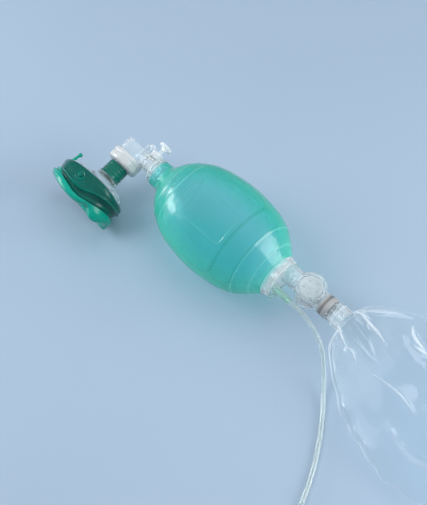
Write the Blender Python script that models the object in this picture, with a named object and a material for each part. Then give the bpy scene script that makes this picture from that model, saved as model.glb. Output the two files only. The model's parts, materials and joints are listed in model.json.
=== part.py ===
"""Bag valve mask resuscitator, laid out on a table.

Frame: metres, +Z up. The origin is the centre of the laid-out set's footprint, on
the table. +X runs along the bag's axis from the patient valve (front) to the
reservoir (rear). The face mask lies on the -Y side of the valve.

The dimensions below are in millimetres and are measured from the bag's centre, on
its axis at its largest diameter, where the table is at Z = -65. BAG_CENTRE moves
them to the frame above.
"""

import math

import bmesh
import bpy
from mathutils import Matrix, Vector

MM = 0.001

# ---------------------------------------------------------------- dimensions
BAG_CENTRE = (-130.8, 97.1, 65.0)
TABLE_Z = -65.0

BAG_WALL = 2.2
BAG_OUTER = [  # (x, radius) of the squeeze bag, front neck to rear mouth
    (-121.0, 17.9), (-109.0, 18.5), (-104.5, 22.5), (-93.0, 36.0), (-80.0, 46.5),
    (-61.0, 56.6), (-33.0, 63.0), (0.0, 65.0), (21.0, 63.2), (41.0, 59.4),
    (57.0, 53.0), (73.0, 41.4), (86.0, 29.6),
]
BAG_NECK_BORE = 15.6
BAG_MOUTH_BORE = 26.6

PANEL_CENTRE_X = -14.0       # grip panel: the part of the wall that a hand presses in
PANEL_HALF_X = 40.0
PANEL_HALF_Y = 27.0
PANEL_GAP = 0.6
SQUEEZE_TRAVEL = 25.0

VALVE_X = -168.0             # patient valve: axis of the mask port crosses the bag axis here
VALVE_TILT = math.radians(12.0)
HOUSING_R = 18.5
HOUSING_TOP = 9.5
HOUSING_BOTTOM = -9.0
HOUSING_WALL = 1.8
ARM_R = 9.2
ARM_BORE = 7.4
SPIGOT_R = 9.6
COLLAR_R = 22.8
COLLAR_TOP = -9.3
COLLAR_BOTTOM = -26.0
PORT_R = 11.0                # 22 mm male taper of the patient port
PORT_BORE = 7.5              # 15 mm female
PORT_END = -47.0

SLEEVE_BORE = 11.35          # 22 mm female connector of the mask
SLEEVE_TOP = -27.2
SLEEVE_BOTTOM = -47.5
DOME_WALL = 2.0
MASK_SHIFT = -7.5            # oval of the mask is longer towards the nose end (-X)
MASK_HALF_LENGTH = 52.0
MASK_HALF_WIDTH = 43.5
STUB_LEAN = math.radians(12.0)   # the inflation stub leans towards the valve

POPOFF_X = 27.0              # pressure relief valve on the arm, from the valve axis
MONITOR_X = 14.2             # pressure monitoring port
POPOFF_TRAVEL = 3.0

REAR_COLLAR_R = 28.85
REAR_Y = 13.0                # the reservoir neck is off the bag's axis
NECK_R = 12.8
NECK_BORE = 10.5
NIPPLE_Y = -15.0
NIPPLE_R = 3.2

CHAMBER_X = 131.7
CHAMBER_R = 19.2
CHAMBER_HALF = 13.0
CHAMBER_BORE = 7.2

SLEEVE2_R = 14.5             # grey sleeve between chamber and reservoir connector
CONNECTOR_R = 13.5

FILM = 0.8                   # wall of the reservoir bag
RESERVOIR_START = 189.0
RESERVOIR_END = 432.0

TUBE_R = 2.9
TUBE_BORE = 1.9
COIL_CENTRE = (400.0, -235.0)
COIL_TURNS = 2.5

ROUND = 22                   # sides of a small round piece
BAG_SIDES = 32


# ---------------------------------------------------------------- helpers
def clear_scene():
    for obj in list(bpy.data.objects):
        bpy.data.objects.remove(obj, do_unlink=True)
    for mesh in list(bpy.data.meshes):
        bpy.data.meshes.remove(mesh)


def make_material(name, colour, roughness, metallic=0.0, transmission=0.0):
    mat = bpy.data.materials.new(name)
    mat.use_nodes = True
    shader = mat.node_tree.nodes["Principled BSDF"]
    shader.inputs["Base Color"].default_value = (*colour, 1.0)
    shader.inputs["Roughness"].default_value = roughness
    shader.inputs["Metallic"].default_value = metallic
    shader.inputs["Transmission Weight"].default_value = transmission
    return mat


def finish(name, bm, mat, place=None, angle=35.0, helper=False):
    """Turn a bmesh in millimetres into a named object placed by a matrix."""
    bmesh.ops.remove_doubles(bm, verts=bm.verts, dist=1e-5)
    bmesh.ops.scale(bm, vec=(MM, MM, MM), verts=bm.verts)
    bmesh.ops.recalc_face_normals(bm, faces=bm.faces)
    mesh = bpy.data.meshes.new(name)
    bm.to_mesh(mesh)
    bm.free()
    obj = bpy.data.objects.new(name, mesh)
    bpy.context.scene.collection.objects.link(obj)
    obj.matrix_world = Matrix.Translation(Vector(BAG_CENTRE) * MM) @ (place or Matrix.Identity(4))
    mesh.shade_smooth()
    mesh.set_sharp_from_angle(angle=math.radians(angle))
    if mat:
        mesh.materials.append(mat)
    if helper:
        obj.hide_render = True
        obj.display_type = "WIRE"
    return obj


def turned(profile, axis="X", sides=ROUND, centre=(0.0, 0.0, 0.0), closed=True, start=0.0):
    """Revolve (along, radius) points. A closed profile makes a ring; an open one
    begins and ends on the axis."""
    bm = bmesh.new()
    along = {"X": Vector((1, 0, 0)), "Y": Vector((0, 1, 0)), "Z": Vector((0, 0, 1))}[axis]
    out = {"X": Vector((0, 1, 0)), "Y": Vector((0, 0, 1)), "Z": Vector((1, 0, 0))}[axis]
    out = Matrix.Rotation(start, 3, along) @ out
    middle = Vector(centre)
    verts = [bm.verts.new(middle + along * a + out * r) for a, r in profile]
    edges = [bm.edges.new((verts[i], verts[i + 1])) for i in range(len(verts) - 1)]
    if closed:
        edges.append(bm.edges.new((verts[-1], verts[0])))
    bmesh.ops.spin(bm, geom=verts + edges, cent=middle, axis=along, angle=math.tau,
                   steps=sides, use_merge=True)
    bmesh.ops.remove_doubles(bm, verts=bm.verts, dist=1e-4)
    return bm


def ring(profile_outer, profile_inner):
    """Closed profile: along the outside, then back along the inside."""
    return list(profile_outer) + list(reversed(list(profile_inner)))


def loft(rings, wrap=False):
    """Skin a list of rings that have the same number of points. Ends are capped
    unless the last ring joins the first."""
    bm = bmesh.new()
    rows = [[bm.verts.new(Vector(p)) for p in points] for points in rings]
    count = len(rows[0])
    pairs = list(zip(rows, rows[1:]))
    if wrap:
        pairs.append((rows[-1], rows[0]))
    for first, second in pairs:
        for i in range(count):
            j = (i + 1) % count
            bm.faces.new((first[i], first[j], second[j], second[i]))
    if not wrap:
        bm.faces.new(list(reversed(rows[0])))
        bm.faces.new(rows[-1])
    return bm


def box(low, high):
    bm = bmesh.new()
    bmesh.ops.create_cube(bm, size=1.0)
    size = [h - l for l, h in zip(low, high)]
    middle = [(h + l) / 2 for l, h in zip(low, high)]
    bmesh.ops.scale(bm, vec=size, verts=bm.verts)
    bmesh.ops.translate(bm, vec=middle, verts=bm.verts)
    return bm


def boolean(target, other, operation):
    mod = target.modifiers.new(operation.lower() + "_" + other.name[-20:], "BOOLEAN")
    mod.operation = operation
    mod.solver = "EXACT"
    mod.object = other
    return mod


helper_count = 0


def helper(bm, place=None):
    global helper_count
    helper_count += 1
    return finish("helper_%02d" % helper_count, bm, None, place, helper=True)


def cut(target, bm, place=None):
    boolean(target, helper(bm, place), "DIFFERENCE")


def join(target, bm, place=None):
    boolean(target, helper(bm, place), "UNION")


def smooth_path(points, per_span):
    """Catmull-Rom curve through control points."""
    pts = [Vector(p) for p in points]
    pts = [pts[0] * 2 - pts[1]] + pts + [pts[-1] * 2 - pts[-2]]
    out = []
    for i in range(1, len(pts) - 2):
        a, b, c, d = pts[i - 1], pts[i], pts[i + 1], pts[i + 2]
        for k in range(per_span):
            t = k / per_span
            out.append(0.5 * ((2 * b) + (c - a) * t + (2 * a - 5 * b + 4 * c - d) * t * t
                              + (3 * b - a - 3 * c + d) * t ** 3))
    out.append(pts[-2])
    return out


def sweep(path, outer, inner, sides):
    """Hollow tube along a path, open at both ends."""
    rows_out, rows_in = [], []
    up = Vector((0, 0, 1))
    side = None
    for i, point in enumerate(path):
        tangent = (path[min(i + 1, len(path) - 1)] - path[max(i - 1, 0)]).normalized()
        side = up.cross(tangent).normalized() if side is None else (side - tangent * side.dot(tangent)).normalized()
        other = tangent.cross(side)
        spokes = [side * math.cos(math.tau * k / sides) + other * math.sin(math.tau * k / sides)
                  for k in range(sides)]
        rows_out.append([point + s * outer for s in spokes])
        rows_in.append([point + s * inner for s in spokes])
    return loft(rows_out + list(reversed(rows_in)), wrap=True)


# ---------------------------------------------------------------- frames
BAG_FRAME = Matrix.Identity(4)
VALVE_FRAME = Matrix.Translation((VALVE_X * MM, 0, 0)) @ Matrix.Rotation(VALVE_TILT, 4, "X")
STUB_FRAME = (VALVE_FRAME @ Matrix.Translation(((MASK_SHIFT - MASK_HALF_LENGTH + 4.4) * MM, -65.2 * MM, 0))
              @ Matrix.Rotation(-STUB_LEAN, 4, "Z"))
REAR_FRAME = Matrix.Translation((0, REAR_Y * MM, 0))
CHAMBER_FRAME = Matrix.Translation((CHAMBER_X * MM, REAR_Y * MM, 0))
NIPPLE_FRAME = Matrix.Translation((0, NIPPLE_Y * MM, 0))


def bag_radius(x):
    for (x0, r0), (x1, r1) in zip(BAG_OUTER, BAG_OUTER[1:]):
        if x <= x1:
            return r0 + (r1 - r0) * (x - x0) / (x1 - x0)
    return BAG_OUTER[-1][1]


# ---------------------------------------------------------------- squeeze bag
def build_bag(green, clear):
    inner = []
    for i, (x, r) in enumerate(BAG_OUTER):
        if i == 0:
            inner.append((x, BAG_NECK_BORE))
        elif i == 1:
            inner.append((x + 2.0, BAG_NECK_BORE))
        elif i == len(BAG_OUTER) - 1:
            inner.append((x, BAG_MOUTH_BORE))
        else:
            inner.append((x + (1.2 if x < -40 else -1.0 if x > 40 else 0.0), r - BAG_WALL))
    wall = ring(BAG_OUTER, inner)
    bag = finish("squeeze_bag", turned(wall, "X", BAG_SIDES), green, BAG_FRAME)
    grow = PANEL_GAP / 2
    lo = (PANEL_CENTRE_X - PANEL_HALF_X - grow, -PANEL_HALF_Y - grow, 20.0)
    hi = (PANEL_CENTRE_X + PANEL_HALF_X + grow, PANEL_HALF_Y + grow, 80.0)
    cut(bag, box(lo, hi))
    panel = finish("bag_grip_panel", turned(wall, "X", BAG_SIDES), green, BAG_FRAME)
    keep = helper(box((lo[0] + 2 * grow, lo[1] + 2 * grow, lo[2]), (hi[0] - 2 * grow, hi[1] - 2 * grow, hi[2])))
    boolean(panel, keep, "INTERSECT")

    socket = [(-127.0, 17.6), (-121.3, 17.6), (-121.3, 15.2), (-101.0, 15.2), (-101.0, 11.4), (-127.0, 11.4)]
    finish("neck_socket", turned(socket, "X"), clear, BAG_FRAME)


# ---------------------------------------------------------------- patient valve
def build_valve(clear, frosted, silicone, rubber, steel, green_clear):
    # clear housing: drum with closed top, and the arm that turns in the bag's neck
    drum = [(HOUSING_TOP, 0.0), (HOUSING_TOP, HOUSING_R - 0.8), (HOUSING_TOP - 0.8, HOUSING_R),
            (HOUSING_BOTTOM, HOUSING_R), (HOUSING_BOTTOM, 0.0)]
    housing = finish("valve_housing", turned(drum, "Y", 26, closed=False), clear, VALVE_FRAME)
    arm = [(0.0, 0.0), (0.0, ARM_R), (37.2, ARM_R), (37.2, 13.0), (40.6, 13.0), (40.6, SPIGOT_R),
           (51.0, SPIGOT_R), (51.0, 8.8), (53.4, 8.8), (53.4, SPIGOT_R), (64.0, SPIGOT_R), (64.0, 0.0)]
    join(housing, turned(arm, "X", closed=False), VALVE_FRAME)
    cavity = [(HOUSING_TOP - HOUSING_WALL, 0.0), (HOUSING_TOP - HOUSING_WALL, HOUSING_R - HOUSING_WALL),
              (HOUSING_BOTTOM - 1.0, HOUSING_R - HOUSING_WALL), (HOUSING_BOTTOM - 1.0, 0.0)]
    cut(housing, turned(cavity, "Y", 26, closed=False), VALVE_FRAME)
    cut(housing, turned([(8.0, 0.0), (8.0, ARM_BORE), (66.0, ARM_BORE), (66.0, 0.0)], "X", closed=False), VALVE_FRAME)

    oring = [(52.2 + 0.85 * math.cos(math.tau * k / 8), 10.2 + 0.85 * math.sin(math.tau * k / 8)) for k in range(8)]
    finish("swivel_o_ring", turned(oring, "X"), rubber, VALVE_FRAME)

    collar = ring([(COLLAR_TOP, COLLAR_R - 0.9), (COLLAR_TOP - 0.9, COLLAR_R), (-23.5, COLLAR_R), (COLLAR_BOTTOM, COLLAR_R - 1.8)],
                  [(COLLAR_TOP, 16.9), (-11.0, 16.9), (-11.0, 20.6), (-24.6, 20.6), (-24.6, 13.4), (COLLAR_BOTTOM, 13.4)])
    finish("exhalation_collar", turned(collar, "Y", 28), frosted, VALVE_FRAME)

    port = [(-14.5, 10.3), (-22.2, 10.3), (-22.2, 19.6), (-24.2, 19.6), (-24.2, PORT_R + 0.0), (PORT_END, PORT_R - 0.35),
            (PORT_END, PORT_BORE), (-14.5, PORT_BORE)]
    finish("patient_port", turned(port, "Y"), clear, VALVE_FRAME)

    # one-way valve: silicone disc with a beak that points down the port
    disc = [(-11.2, 5.2), (-11.2, 15.6), (-12.4, 15.6), (-12.6, 6.6), (-16.0, 6.2), (-22.5, 1.7), (-22.5, 0.8), (-15.6, 4.8)]
    finish("duckbill_valve", turned(disc, "Y", 24), silicone, VALVE_FRAME)
    flap = [(-17.4, 11.2), (-16.6, 11.2), (-16.6, 19.4), (-17.4, 19.4)]
    finish("exhalation_disc", turned(flap, "Y"), silicone, VALVE_FRAME)

    # pressure relief valve on the arm
    here = (POPOFF_X, 0.0, 0.0)
    cup = ring([(9.6, 8.5), (17.6, 8.5), (18.6, 7.5)], [(9.6, 2.9), (11.0, 2.9), (11.0, 6.9), (17.0, 6.9), (17.0, 2.9), (18.6, 2.9)])
    finish("popoff_body", turned(cup, "Y", 24, here), clear, VALVE_FRAME)
    stem = [(11.3, 0.0), (11.3, 5.6), (12.2, 5.6), (12.2, 2.1), (29.6, 2.1), (29.6, 0.0)]
    finish("popoff_plunger", turned(stem, "Y", 20, here, closed=False), clear, VALVE_FRAME @ Matrix.Identity(4))
    knob = [(30.1, 0.0), (30.1, 2.5), (25.5, 2.5), (25.5, 4.2), (29.4, 4.2), (29.4, 8.4), (30.0, 9.0), (32.4, 9.0), (33.0, 8.4), (33.0, 0.0)]
    finish("popoff_knob", turned(knob, "Y", 22, here, closed=False), clear, VALVE_FRAME)
    coil = []
    turns, steps = 4, 10
    for k in range(turns * steps + 1):
        a = math.tau * k / steps
        coil.append(Vector((POPOFF_X + 4.0 * math.cos(a), 12.9 + 3.4 * k / (turns * steps), 4.0 * math.sin(a))))
    finish("popoff_spring", wire(coil, 0.38, 6), steel, VALVE_FRAME)

    # monitoring port with its cap on a strap
    spot = (MONITOR_X, 0.0, 0.0)
    stub = ring([(9.8, 2.9), (18.6, 2.9)], [(9.8, 1.5), (18.6, 1.5)])
    finish("monitor_port", turned(stub, "Y", 20, spot), clear, VALVE_FRAME)
    tether = ring([(10.1, 4.0), (11.3, 4.0)], [(10.1, 3.25), (11.3, 3.25)])
    finish("cap_tether_ring", turned(tether, "Y", 20, spot), clear, VALVE_FRAME)
    cap = [(19.3, 0.0), (19.3, 3.25), (18.2, 3.25), (18.2, 4.0), (22.4, 4.0), (23.4, 3.0), (23.4, 0.0)]
    lid = finish("monitor_cap", turned(cap, "Y", 20, spot, closed=False), clear, VALVE_FRAME)
    join(lid, box((MONITOR_X - 7.2, 19.4, -1.4), (MONITOR_X - 3.6, 20.5, 1.4)), VALVE_FRAME)
    join(lid, box((MONITOR_X - 7.4, 11.8, -1.5), (MONITOR_X - 6.2, 20.7, 1.5)), VALVE_FRAME)


def wire(path, radius, sides):
    """Solid round wire along a path."""
    rows = []
    side = None
    for i, point in enumerate(path):
        tangent = (path[min(i + 1, len(path) - 1)] - path[max(i - 1, 0)]).normalized()
        start = Vector((0, 1, 0)).cross(tangent).normalized()
        side = start if side is None else (side - tangent * side.dot(tangent)).normalized()
        other = tangent.cross(side)
        rows.append([point + side * (radius * math.cos(math.tau * k / sides))
                     + other * (radius * math.sin(math.tau * k / sides)) for k in range(sides)])
    return loft(rows)


# ---------------------------------------------------------------- face mask
def oval(y, a, b, sides=28, shear=0.0, shift=MASK_SHIFT, narrow=0.0):
    """Ring of the mask at height y along the port axis. The chin end (+X) hangs
    lower than the nose end by the shear; the nose end is narrower."""
    points = []
    for k in range(sides):
        t = math.tau * k / sides
        x, z = a * math.cos(t), b * math.sin(t)
        z *= 1.0 - narrow * max(0.0, -math.cos(t)) ** 2
        points.append((shift + x, y - shear * x / 50.0, z))
    return points


def build_mask(clear, green, green_dark):
    sleeve = ring([(SLEEVE_TOP, 14.0), (-31.0, 14.2), (-31.6, 15.0), (-34.4, 15.0), (-35.0, 14.2), (-38.6, 14.4), (-39.2, 15.1),
                   (-42.0, 15.1), (-42.6, 14.4), (SLEEVE_BOTTOM, 14.6)],
                  [(SLEEVE_TOP, SLEEVE_BORE), (SLEEVE_BOTTOM, SLEEVE_BORE)])
    finish("mask_connector_sleeve", turned(sleeve, "Y"), green, VALVE_FRAME)

    outer = [(-47.9, 15.3, 15.3, 0.0), (-52.0, 16.4, 16.4, 0.0), (-54.6, 24.0, 21.5, -2.0), (-58.0, 35.5, 29.0, -5.0),
             (-63.0, 43.6, 34.2, -7.5), (-70.2, 45.0, 35.6, -7.5)]
    rings_out = [oval(y, a, b, shift=s, narrow=0.12 if a > 20 else 0.0) for y, a, b, s in outer]
    rings_in = [oval(y - (0.0 if i == 0 else 0.6 if i < 5 else 0.0), a - DOME_WALL - (1.6 if i == 0 else 0.0), b - DOME_WALL - (1.6 if i == 0 else 0.0),
                     shift=s, narrow=0.12 if a > 20 else 0.0) for i, (y, a, b, s) in enumerate(outer)]
    finish("mask_dome", loft(rings_out + list(reversed(rings_in)), wrap=True), clear, VALVE_FRAME)

    a, b = MASK_HALF_LENGTH, MASK_HALF_WIDTH
    section = [  # (y, half length, half width, shear)
        (-65.2, 45.9, 36.5, 0.0), (-65.2, a - 3.6, b - 4.0, 0.0), (-67.5, a - 1.2, b - 1.5, 0.5), (-78.0, a, b - 0.6, 1.5), (-90.0, a - 0.5, b, 3.5),
        (-97.0, a - 2.5, b - 1.5, 5.0), (-99.0, a - 7.0, b - 6.0, 5.0), (-97.5, a - 14.0, b - 12.5, 5.0), (-94.0, a - 15.5, b - 14.0, 4.5),
        (-92.5, a - 11.0, b - 9.5, 4.0), (-86.0, a - 9.5, b - 8.5, 2.5), (-71.0, 43.0, 33.6, 0.0), (-70.6, 45.9, 36.5, 0.0),
    ]
    finish("mask_cushion", loft([oval(y, p, q, shear=s, narrow=0.12) for y, p, q, s in section], wrap=True), green, VALVE_FRAME, angle=60)

    stub = ring([(1.1, 2.8), (1.9, 2.8), (2.4, 2.0), (13.0, 2.0)], [(1.1, 1.1), (13.0, 1.1)])
    finish("mask_inflation_tube", turned(stub, "Y", 14), green, STUB_FRAME)
    plug = [(8.9, 0.0), (8.9, 0.75), (13.3, 0.75), (13.3, 2.3), (14.2, 2.8), (17.0, 2.8), (18.0, 1.9), (18.0, 0.0)]
    finish("mask_inflation_plug", turned(plug, "Y", 14, closed=False), green, STUB_FRAME)

    for name, sign in (("strap_peg_near", 1.0), ("strap_peg_far", -1.0)):
        w = sign
        z0 = b - 0.2
        peg = [(z0 * w, 0.0), (z0 * w, 5.6), ((z0 + 1.2) * w, 5.6), ((z0 + 1.2) * w, 2.2), ((z0 + 3.4) * w, 2.6), ((z0 + 4.0) * w, 1.6), ((z0 + 4.0) * w, 0.0)]
        finish(name, turned(peg, "Z", 20, (MASK_SHIFT - 0.5, -76.0, 0.0), closed=False), green_dark, VALVE_FRAME)


# ---------------------------------------------------------------- rear valve and chamber
def build_rear(clear, frosted, silicone, grey):
    finish("rear_collar", turned(ring([(86.5, REAR_COLLAR_R - 0.8), (87.3, REAR_COLLAR_R), (98.2, REAR_COLLAR_R), (99.0, REAR_COLLAR_R - 0.8)],
                                      [(86.5, 26.4), (99.0, 26.4)]), "X", 30), clear, BAG_FRAME)

    cup = [(93.6, 0.0), (93.6, 23.6), (80.0, 23.6), (80.0, 25.9), (96.2, 25.9), (96.2, 0.0)]
    housing = finish("intake_housing", turned(cup, "X", 30, closed=False), clear, BAG_FRAME)
    join(housing, turned([(95.0, 0.0), (95.0, NECK_R), (111.8, NECK_R), (111.8, 0.0)], "X", 22, (0, REAR_Y, 0), closed=False))
    cut(housing, turned([(90.0, 0.0), (90.0, NECK_BORE), (113.0, NECK_BORE), (113.0, 0.0)], "X", 22, (0, REAR_Y, 0), closed=False))
    join(housing, turned([(95.0, 0.0), (95.0, NIPPLE_R), (110.0, NIPPLE_R), (112.0, NIPPLE_R - 0.7), (112.0, 0.0)], "X", 16, (0, NIPPLE_Y, 0), closed=False))
    cut(housing, turned([(90.0, 0.0), (90.0, 1.4), (114.0, 1.4), (114.0, 0.0)], "X", 12, (0, NIPPLE_Y, 0), closed=False))

    seat = [(88.9, 0.0), (88.9, 23.2), (91.0, 23.2), (91.0, 0.0)]
    plate = finish("intake_seat", turned(seat, "X", 26, closed=False), clear, BAG_FRAME)
    join(plate, turned([(84.0, 0.0), (84.0, 2.6), (85.2, 2.6), (85.2, 1.3), (90.0, 1.3), (90.0, 0.0)], "X", 12, closed=False))
    for k in range(5):
        a = math.tau * (k + 0.25) / 5
        cut(plate, turned([(86.0, 0.0), (86.0, 4.2), (93.0, 4.2), (93.0, 0.0)], "X", 10, (0, 10.5 * math.cos(a), 10.5 * math.sin(a)), closed=False))
    finish("intake_disc", turned(ring([(87.4, 17.5), (88.5, 17.5)], [(87.4, 1.8), (88.5, 1.8)]), "X", 22), silicone, BAG_FRAME)

    # chamber with an air inlet valve on top and an overflow valve underneath
    drum = [(-CHAMBER_HALF, 0.0), (-CHAMBER_HALF, CHAMBER_R), (CHAMBER_HALF, CHAMBER_R), (CHAMBER_HALF, 0.0)]
    chamber = finish("reservoir_chamber", turned(drum, "Z", 28, closed=False), clear, CHAMBER_FRAME)
    join(chamber, turned([(-29.0, 0.0), (-29.0, 10.1), (-19.4, 10.1), (-19.4, 12.6), (0.0, 12.6), (34.6, 12.6), (34.6, 0.0)], "X", 22, closed=False), CHAMBER_FRAME)
    cut(chamber, turned([(-31.0, 0.0), (-31.0, CHAMBER_BORE), (8.0, CHAMBER_BORE), (16.0, 10.2), (36.0, 10.2), (36.0, 0.0)], "X", 20, closed=False), CHAMBER_FRAME)
    for sign in (1.0, -1.0):
        cut(chamber, turned([(9.2 * sign, 0.0), (9.2 * sign, 17.2), (15.0 * sign, 17.2), (15.0 * sign, 0.0)], "Z", 28, closed=False), CHAMBER_FRAME)
    for k in range(4):
        a = math.tau * (k + 0.5) / 4
        cut(chamber, turned([(-12.0, 0.0), (-12.0, 2.4), (12.0, 2.4), (12.0, 0.0)], "Z", 8, (6.5 * math.cos(a), 6.5 * math.sin(a), 0), closed=False), CHAMBER_FRAME)
    for name, low, high in (("chamber_top_cover", 13.3, 15.5), ("chamber_bottom_cover", -15.5, -13.3)):
        cover = finish(name, turned([(low, 0.0), (low, CHAMBER_R - 0.4), (high, CHAMBER_R - 0.4), (high, 0.0)], "Z", 28, closed=False), clear, CHAMBER_FRAME)
        for k in range(5):
            a = math.tau * k / 5
            cut(cover, turned([(low - 1, 0.0), (low - 1, 2.0), (high + 1, 2.0), (high + 1, 0.0)], "Z", 8, (9.0 * math.cos(a), 9.0 * math.sin(a), 0), closed=False), CHAMBER_FRAME)
    finish("air_inlet_disc", turned([(11.6, 0.0), (11.6, 14.6), (12.7, 14.6), (12.7, 0.0)], "Z", 22, closed=False), frosted, CHAMBER_FRAME)
    finish("overflow_disc", turned([(-10.7, 0.0), (-10.7, 14.6), (-9.6, 14.6), (-9.6, 0.0)], "Z", 22, closed=False), frosted, CHAMBER_FRAME)

    finish("coupling_sleeve", turned(ring([(153.6, SLEEVE2_R - 0.5), (154.1, SLEEVE2_R), (165.9, SLEEVE2_R), (166.4, SLEEVE2_R - 0.5)],
                                          [(153.6, 13.1), (166.4, 13.1)]), "X", 22), grey, REAR_FRAME)

    drum = [(153.0, 9.8), (166.9, 9.8), (166.9, CONNECTOR_R), (188.6, CONNECTOR_R), (188.6, 11.7), (168.9, 11.7), (168.9, 7.8), (153.0, 7.8)]
    connector = finish("reservoir_connector", turned(drum, "X", 22), clear, REAR_FRAME)
    join(connector, box((172.0, -12.4, -0.8), (183.0, 12.4, 0.8)), REAR_FRAME)
    join(connector, box((172.3, -0.9, -12.5), (182.7, 0.9, 12.5)), REAR_FRAME)


# ---------------------------------------------------------------- reservoir bag
def between(table, x):
    for (x0, v0), (x1, v1) in zip(table, table[1:]):
        if x <= x1:
            return v0 + (v1 - v0) * (x - x0) / (x1 - x0)
    return table[-1][1]


FILM_HALF_WIDTH = [(189.0, 13.0), (191.5, 26.0), (195.0, 36.0), (203.0, 45.0), (212.0, 53.0), (228.0, 67.0), (246.0, 78.5),
                   (270.0, 92.0), (300.0, 103.0), (340.0, 107.0), (400.0, 107.0), (424.0, 106.0), (432.0, 103.0)]
FILM_HALF_THICKNESS = [(189.0, 12.6), (195.0, 12.5), (212.0, 13.5), (260.0, 16.0), (330.0, 16.0), (390.0, 11.0), (424.0, 3.6), (432.0, 1.6)]
FILM_HEIGHT = [(189.0, 0.0), (196.0, -1.5), (212.0, -7.0), (260.0, -28.0), (320.0, -46.0), (390.0, -53.0), (432.0, -62.0)]
FILM_DRIFT = [(189.0, 0.0), (212.0, 0.5), (246.0, 4.0), (300.0, 9.0), (432.0, 12.0)]


def film_ring(x, inset, sides=20):
    """Flattened oval section of the film bag, lying on the table where it reaches it."""
    w, t = between(FILM_HALF_WIDTH, x) - inset * 1.6, max(between(FILM_HALF_THICKNESS, x) - inset, 0.35)
    points = []
    for k in range(sides):
        a = math.tau * k / sides
        c, s = math.cos(a), math.sin(a)
        z = t * math.copysign(abs(s) ** 1.15, s)
        points.append((x, between(FILM_DRIFT, x) + w * c, max(between(FILM_HEIGHT, x) + z, TABLE_Z + inset)))
    return points


def build_reservoir(film):
    stations = [189.0, 191.5, 195.0, 203.0, 212.0, 228.0, 246.0, 270.0, 300.0, 340.0, 400.0, 424.0, 432.0]
    outer = [film_ring(x, 0.0) for x in stations]
    inner = [film_ring(x, FILM) for x in stations[:-2] + [423.0]]
    finish("reservoir_bag", loft(list(reversed(outer)) + inner), film, REAR_FRAME, angle=70)


# ---------------------------------------------------------------- oxygen tube
def build_tube(clear, green_clear):
    cuff = ring([(98.6, 5.6), (104.0, 5.2), (112.0, 4.3), (124.0, 4.0)], [(98.6, 3.55), (124.0, 3.3)])
    finish("tube_cuff", turned(cuff, "X", 18), green_clear, NIPPLE_FRAME)

    lead = [(112.6, NIPPLE_Y, 0.0), (124.0, NIPPLE_Y, 0.0), (137.0, -14.8, -1.0), (150.0, -15.0, -5.0), (172.0, -17.5, -17.0), (192.0, -26.0, -33.5), (206.0, -38.0, -47.5),
            (221.0, -54.0, -57.5), (238.0, -74.0, -61.6), (262.0, -108.0, TABLE_Z + TUBE_R), (285.0, -150.0, TABLE_Z + TUBE_R),
            (303.0, -200.0, TABLE_Z + TUBE_R), (311.0, -242.0, TABLE_Z + TUBE_R)]
    path = smooth_path(lead, 2)
    start = math.radians(203.0)
    steps = 14
    end_z = TABLE_Z + 6.6
    for k in range(int(COIL_TURNS * steps) + 1):
        t = k / steps
        inward = max(0.0, (t - COIL_TURNS + 0.5) / 0.5)
        a = start + math.tau * t
        r = 92.0 - 13.0 * t - 20.0 * inward ** 2
        z = TABLE_Z + TUBE_R + (end_z - TABLE_Z - TUBE_R) * inward ** 2
        path.append(Vector((COIL_CENTRE[0] + r * math.cos(a), COIL_CENTRE[1] + r * math.sin(a), z)))
    tangent = path[-1] - path[-2]
    tangent.z = 0.0
    tangent.normalize()
    path[-1] = Vector((path[-1].x, path[-1].y, end_z))
    path.append(path[-1] + tangent * 12.0)
    finish("oxygen_tube", sweep(path, TUBE_R, TUBE_BORE, 6), clear, BAG_FRAME, angle=60)

    end = path[-1]
    place = Matrix.Translation(end * MM) @ tangent.to_track_quat("X", "Z").to_matrix().to_4x4()
    funnel = ring([(-9.0, 4.1), (8.0, 4.5), (14.0, 5.2), (30.0, 6.5), (32.0, 6.5)], [(-9.0, 3.3), (0.4, 3.3), (0.4, 1.9), (14.0, 3.2), (32.0, 4.6)])
    finish("tube_end_connector", turned(funnel, "X", 16), green_clear, place)


# ---------------------------------------------------------------- materials and assembly
def main():
    clear_scene()
    green = make_material("bag_green", (0.10, 0.62, 0.50), 0.25, transmission=0.6)
    mask_green = make_material("mask_green", (0.01, 0.34, 0.24), 0.25, transmission=0.2)
    mask_dark = make_material("mask_green_dark", (0.01, 0.26, 0.18), 0.3)
    clear = make_material("clear_plastic", (0.92, 0.95, 0.96), 0.08, transmission=0.95)
    frosted = make_material("frosted_plastic", (0.86, 0.88, 0.88), 0.5, transmission=0.5)
    silicone = make_material("silicone", (0.85, 0.88, 0.86), 0.45, transmission=0.3)
    rubber = make_material("rubber", (0.35, 0.36, 0.36), 0.6)
    steel = make_material("spring_steel", (0.7, 0.7, 0.7), 0.3, metallic=1.0)
    grey = make_material("grey_plastic", (0.62, 0.62, 0.61), 0.4)
    film = make_material("clear_film", (0.9, 0.95, 0.97), 0.1, transmission=0.95)
    green_clear = make_material("tinted_tube", (0.6, 0.9, 0.75), 0.15, transmission=0.8)
    build_bag(green, clear)
    build_valve(clear, frosted, silicone, rubber, steel, green_clear)
    build_mask(clear, mask_green, mask_dark)
    build_rear(clear, frosted, silicone, grey)
    build_reservoir(film)
    build_tube(clear, green_clear)


main()
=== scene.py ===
"""Looks of a bag valve mask resuscitator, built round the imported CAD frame.

The bag's axis lies along X: the patient valve and face mask are at its -X neck end, the
intake valve, reservoir and oxygen line at its +X mouth end. Everything rests on a table.
Shapes are written in millimetres in the frame of the piece they belong to.
"""

import json
import math

import bmesh
import bpy
import numpy as np
from mathutils import Matrix, Vector


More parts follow.
